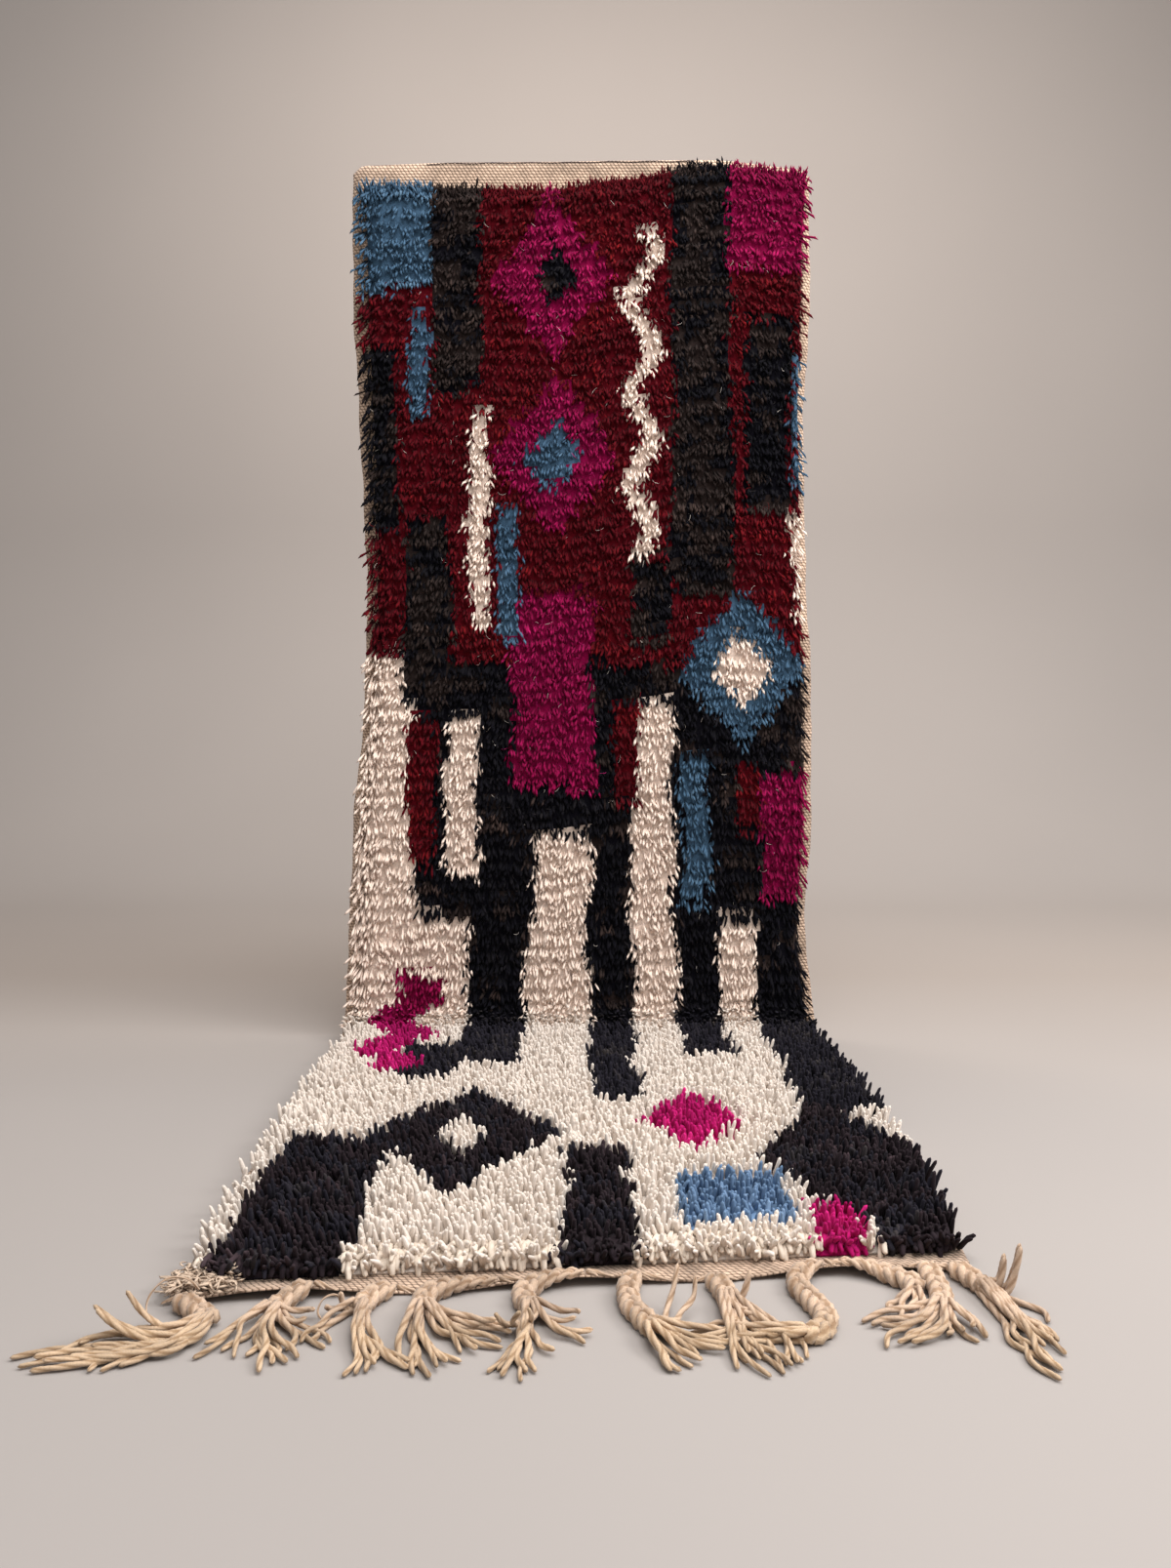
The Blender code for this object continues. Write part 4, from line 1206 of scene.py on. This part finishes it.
def plaitLines(points, lead):
    # three bundles that cross one another along the plait; it grows out of the front edge
    root = points[0]
    edgeZ = float(frontLiftAt(root[0], frontAlong(root[0]))) + fringe["plaitRoot"]
    heights = [edgeZ, edgeZ * 0.5 + 0.0050] + [fringe["plaitHeight"]] * (len(points) - 2)
    centre, at = smoothPath([(x, y, z) for (x, y), z in zip(points, heights)], fringe["ring"])
    ahead = np.gradient(centre, axis=0)
    ahead /= np.linalg.norm(ahead, axis=1)[:, None]
    beside = np.column_stack((-ahead[:, 1], ahead[:, 0], np.zeros(len(at))))
    grown = np.clip(0.35 + 0.65 * at / lead, 0, 1)
    lines = []
    for k in range(3):
        phase = 2 * math.pi * (at / fringe["plaitWave"] + k / 3)
        line = centre + beside * (fringe["plaitSwing"] * grown * np.sin(phase))[:, None]
        line[:, 2] += fringe["plaitRise"] * grown * np.sin(2 * phase)
        lines.append((line, roundEnds(at, fringe["bundle"], at[-1]) * grown))
    return lines, centre[-1], ahead[-1], beside[-1]


def strandLines(end, ahead, beside, tips, chance):
    # some tips have two strands, which run together and part a little at their ends
    lines = []
    order = sorted(range(len(tips)), key=lambda k: -np.dot(np.array(tips[k][:2]) - end[:2], beside[:2]))
    for rank, k in enumerate(order):
        x, y, lift = tips[k]
        share = rank / max(len(order) - 1, 1) - 0.5
        for fellow in range(2 if chance.uniform() < fringe["fellows"] else 1):
            layer = fringe["layer"] * ((rank + fellow) % 3)
            radius = fringe["strand"] * chance.uniform(0.84, 1.10)
            start = end - ahead * 0.008 - beside * 0.014 * share
            start[2] = radius + 0.0018 + layer * 0.8
            run = np.array((x, y)) - start[:2]
            length = math.hypot(*run)
            sideways = np.array((-run[1], run[0], 0)) / length
            apart = fringe["beside"] * (fellow - 0.5)
            tip = np.array((x, y, radius + lift)) + sideways * apart * chance.uniform(0.6, 2.2)
            tip[:2] -= run * fellow * chance.uniform(0.0, 0.16)
            bend = chance.uniform(-fringe["bend"], fringe["bend"])
            points = [start]
            for t, forward, high in ((0.26, 0.14, 0.0), (0.55, 0.08, 0.10), (0.80, 0.02, 0.45)):
                place = start + (tip - start) * t + ahead * length * forward
                swerve = bend * math.sin(math.pi * t) + chance.uniform(-fringe["wobble"], fringe["wobble"])
                place += sideways * (apart + length * swerve)
                place[2] = radius + layer * (1 - t) + lift * high
                points.append(place)
            line, at = smoothPath((*points, tip), fringe["ring"])
            line[:, 2] = np.maximum(line[:, 2], radius)
            thin = 1 - fringe["thinning"] * (at / at[-1]) ** 3
            lines.append((line, roundEnds(at, radius, at[-1], fringe["taper"]) * thin))
    return lines


def gatherLines(root, chance):
    # warp ends drawn together along the front edge into the plait
    lines = []
    for reach in fringe["gathered"]:
        x = root[0] + reach * chance.uniform(0.8, 1.2)
        points = []
        for t in (0, 0.35, 0.7, 1.0):
            px = x + (root[0] - x) * t
            lift = float(frontLiftAt(px, frontAlong(px)))
            py = float(frontAt(px)) - 0.0010 + (root[1] - float(frontAt(px)) + 0.002) * t
            points.append((px, py, lift + 0.0015 + 0.0040 * t + chance.uniform(0, 0.0020)))
        line, at = smoothPath(points, fringe["ring"])
        grown = 0.45 + 0.55 * np.clip(at / at[-1] * 1.5, 0, 1)
        radius = fringe["strand"] * fringe["gatheredShare"]
        lines.append((line, roundEnds(at, radius, at[-1], fringe["taper"]) * grown))
    return lines


def buildTassels():
    tree, names = strandTree()
    section = sectionLoop("strandSection", 8)
    material = fringeWool()
    pieces = []
    for number, (node, look) in enumerate(tassels.items()):
        chance = np.random.default_rng(300 + number)
        lines, end, ahead, beside = plaitLines(look["plait"], look.get("lead", fringe["lead"]))
        lines += strandLines(end, ahead, beside, look["tips"], chance)
        lines += gatherLines(look["plait"][0], chance)
        if "loop" in look:
            line, at = smoothPath(look["loop"], fringe["ring"])
            lines.append((line, roundEnds(at, fringe["loopStrand"], at[-1])))
        name = node.replace("tassel_", "fringeTassel")
        made = runTree(name, linesMesh(name + "Lines", lines), tree, names, Section=section, Wool=material)
        keepAbove(made, rug["clear"])
        pieces.append(newPiece(made, node))
    bpy.data.objects.remove(section)
    return pieces


tasselPieces = buildTassels()
print("tassels:", countTriangles(*[p.data for p in tasselPieces]), "triangles")

# Loose fibres on the hanging pile, matted wool on the worn corner, and the thread along the top edge
fibres = {
    "seed": 23,
    "radius": 0.00035,
    "lengths": (0.007, 0.018),
    "bend": 1.4,  # radians along its length, to either side
    "turn": 0.9,  # radians by which its start strays from the rug's length
    "arch": 0.003,
    "taper": 6.0,
    "tone": 0.9,
    "height": (0.0150, 0.0205),
    "across": (-0.37, 0.37),
    "counts": {"cream": 170, "magenta": 150, "wine": 420, "black": 200},
}
wisps = {
    "colour": (0.600, 0.468, 0.362),
    "lighter": 1.15,
    "soft": 0.4,
    "count": 210,
    "radius": (0.0010, 0.0023),
    "lengths": (0.009, 0.024),
    "bend": 2.8,
    "taper": 3.0,
    "across": (-0.400, -0.346),
    "inward": (0.005, 0.052),  # from the front edge
    "height": (0.0020, 0.0110),
}
thread = {
    "from": -0.270,
    "to": 0.200,
    "inset": 0.0022,  # below the top edge
    "radius": 0.0009,
    "step": 0.006,
    "sway": 0.0006,
}


def fibreLine(across, along, height, length, mostBend, chance):
    turn = chance.normal(0, fibres["turn"])
    steps = np.linspace(0, 1, 6)
    bend = chance.uniform(-mostBend, mostBend)
    x = across + length * np.sin(turn + bend * steps) * steps
    s = along + length * np.cos(turn + bend * steps) * steps
    z = height + fibres["arch"] * np.sin(np.pi * steps) * chance.uniform(0.4, 1.4)
    return np.column_stack((x, s, z)), steps * length


def fibreLines(yarnName, chance):
    # cream fibres lie on the darker yarns too
    hosts = ("cream", "wine", "black", "magenta") if yarnName == "cream" else (yarnName,)
    lines = []
    while len(lines) < fibres["counts"][yarnName]:
        across, along = chance.uniform(*fibres["across"]), chance.uniform(0.06, wallRun - 0.02)
        if yarnNames[yarnAt(np.array([across]), np.array([along]))[0]] in hosts:
            height, length = chance.uniform(*fibres["height"]), chance.uniform(*fibres["lengths"])
            line, at = fibreLine(across, along, height, length, fibres["bend"], chance)
            lines.append((line, roundEnds(at, fibres["radius"], length, fibres["taper"])))
    return lines


def wispLines(chance):
    lines = []
    for _ in range(wisps["count"]):
        across, inward = chance.uniform(*wisps["across"]), chance.uniform(*wisps["inward"])
        height, length = chance.uniform(*wisps["height"]), chance.uniform(*wisps["lengths"])
        along = float(frontAlong(across)) - inward
        lift = float(frontLiftAt(across, frontAlong(across) - inward))
        line, at = fibreLine(across, along, height + lift, length, wisps["bend"], chance)
        lines.append((line, roundEnds(at, chance.uniform(*wisps["radius"]), length, wisps["taper"])))
    return lines


def threadLines():
    # small stitches that dip into the weave
    across = np.arange(thread["from"], thread["to"], thread["step"] / 4)
    along = between(topEdge, across, "dip") + thread["inset"] + thread["sway"] * np.sin(across * 90)
    height = thread["radius"] * (0.2 + 0.9 * np.sin(2 * np.pi * across / thread["step"]))
    at = across - across[0]
    return [(np.column_stack((across, along, height)), roundEnds(at, thread["radius"], at[-1]))]


def buildFibres():
    chance = np.random.default_rng(fibres["seed"])
    tree, names = strandTree()
    section = sectionLoop("fibreSection", 3)

    def build(name, lines, material, node="pile"):
        made = runTree(name, linesMesh(name + "Lines", lines), tree, names, Section=section, Wool=material)
        # a fibre has none of the painted shade at a lock's root: it is as light as the tip of a lock all
        # along
        layer = made.uv_layers["strandMap"]
        layer.name = "lockMap"
        layer.data.foreach_set("uv", np.tile(np.array((0.3, 1.0), np.float32), len(made.loops)))
        addValues(made, tone=np.full(len(made.vertices), fibres["tone"]))
        drapeMesh(made)
        return newPiece(made, node)

    pieces = []
    for yarnName in fibres["counts"]:
        lines = fibreLines(yarnName, chance)
        pieces.append(build(yarnName + "Fibres", lines, lockMaterials[yarnName, "laid"]))
    wornWool = lockWool("wornWool", wisps["colour"], (wisps["lighter"],) * 3, wisps["soft"])
    pieces.append(build("cornerWisps", wispLines(chance), wornWool))
    lone = build("topThread", threadLines(), lockMaterials["charcoal", "laid"], "foundation")
    bpy.data.objects.remove(section)
    return pieces, lone


fibrePieces, threadPiece = buildFibres()
pilePieces += fibrePieces
print("fibres:", countTriangles(*[p.data for p in fibrePieces]), "triangles")

# Floor, backdrop and light
studio = {
    "colour": (0.352, 0.327, 0.314),
    "shade": (0.920, 0.885, 0.850),  # painted shadow on the floor behind the rug
    "paintedShadowDepth": 2.2,
    "halfWidth": 7.0,
    "front": -5.0,
    "middle": -1.0,
    "curveStart": 1.75,
    "curveRadius": 1.3,
    "curveSteps": 24,
    "wallTop": 6.0,
    "worldStrength": 0.52,
    "worldColour": (1.0, 0.965, 0.940),
}
lights = {
    "overheadSoftbox": {
        "place": (0.6, -1.2, 2.8), "target": (0.0, -0.1, 0.2), "size": (2.2, 2.2), "energy": 90.0,
        "colour": (1.0, 0.98, 0.965),
    },
    "rightSoftbox": {
        "place": (2.6, -0.7, 2.3), "target": (0.0, 0.3, 0.4), "size": (1.4, 1.4), "energy": 75.0,
        "colour": (1.0, 0.97, 0.94),
    },
    "backdropWash": {
        "place": (0.1, 1.0, 3.2), "target": (0.6, 3.0, 1.2), "size": (2.8, 0.8), "energy": 64.0,
        "colour": (1.0, 0.88, 0.78),
    },
}


def studioPaper():
    material, tree = newMaterial("paleStudioPaper", 0.75)
    place = objectPlace(tree)
    tone = addRamp(tree, patches(tree, place, 0.8, 2.0), (0.3, scaled(studio["colour"], 0.97)),
                   (0.7, scaled(studio["colour"], 1.02)))
    # painted shadow: the floor darkens behind the rug and lightens again towards the backdrop
    back = splitPlace(tree, place)["Y"]
    behind = mathNode(tree, "MULTIPLY_ADD", back, 1 / studio["paintedShadowDepth"], 0.0, clamp=True)
    shade = addRamp(tree, behind, (0.05, 1.0), (0.42, studio["shade"]), (0.95, 1.0))
    return finishMaterial(material, shaded(tree, tone, shade))


def buildStudio():
    # one seamless sheet: floor, a wide curve and the wall behind
    start, radius = studio["curveStart"], studio["curveRadius"]
    profile = [(studio["front"], 0.0), (studio["middle"], 0.0), (start, 0.0)]
    for k in range(1, studio["curveSteps"] + 1):
        turn = math.radians(90) * k / studio["curveSteps"]
        profile.append((start + radius * math.sin(turn), radius * (1 - math.cos(turn))))
    profile.append((start + radius, studio["wallTop"]))
    places = [(side * studio["halfWidth"], y, z) for y, z in profile for side in (-1, 1)]
    faces = [(a, a + 1, a + 3, a + 2) for a in range(0, len(places) - 2, 2)]
    mesh = addMesh("studioFloor", places, faces=faces)
    mesh.shade_smooth()
    mesh.materials.append(studioPaper())
    addObject("studioFloor", mesh)


def addLight(name, look):
    data = bpy.data.lights.new(name, "AREA")
    data.shape = "RECTANGLE"
    data.size, data.size_y = look["size"]
    data.energy = look["energy"]
    data.color = look["colour"]
    light = addObject(name, data)
    light.location = look["place"]
    light.visible_camera = False
    way = Vector(look["target"]) - Vector(look["place"])
    light.rotation_euler = way.to_track_quat("-Z", "Y").to_euler()


buildStudio()
for lightName, look in lights.items():
    addLight(lightName, look)
world = bpy.data.worlds.new("studioWorld")
world.use_nodes = True
background = world.node_tree.nodes["Background"]
background.inputs["Color"].default_value = (*studio["worldColour"], 1.0)
background.inputs["Strength"].default_value = studio["worldStrength"]
scene.world = world
scene.view_settings.view_transform = "Standard"
print("studio made")
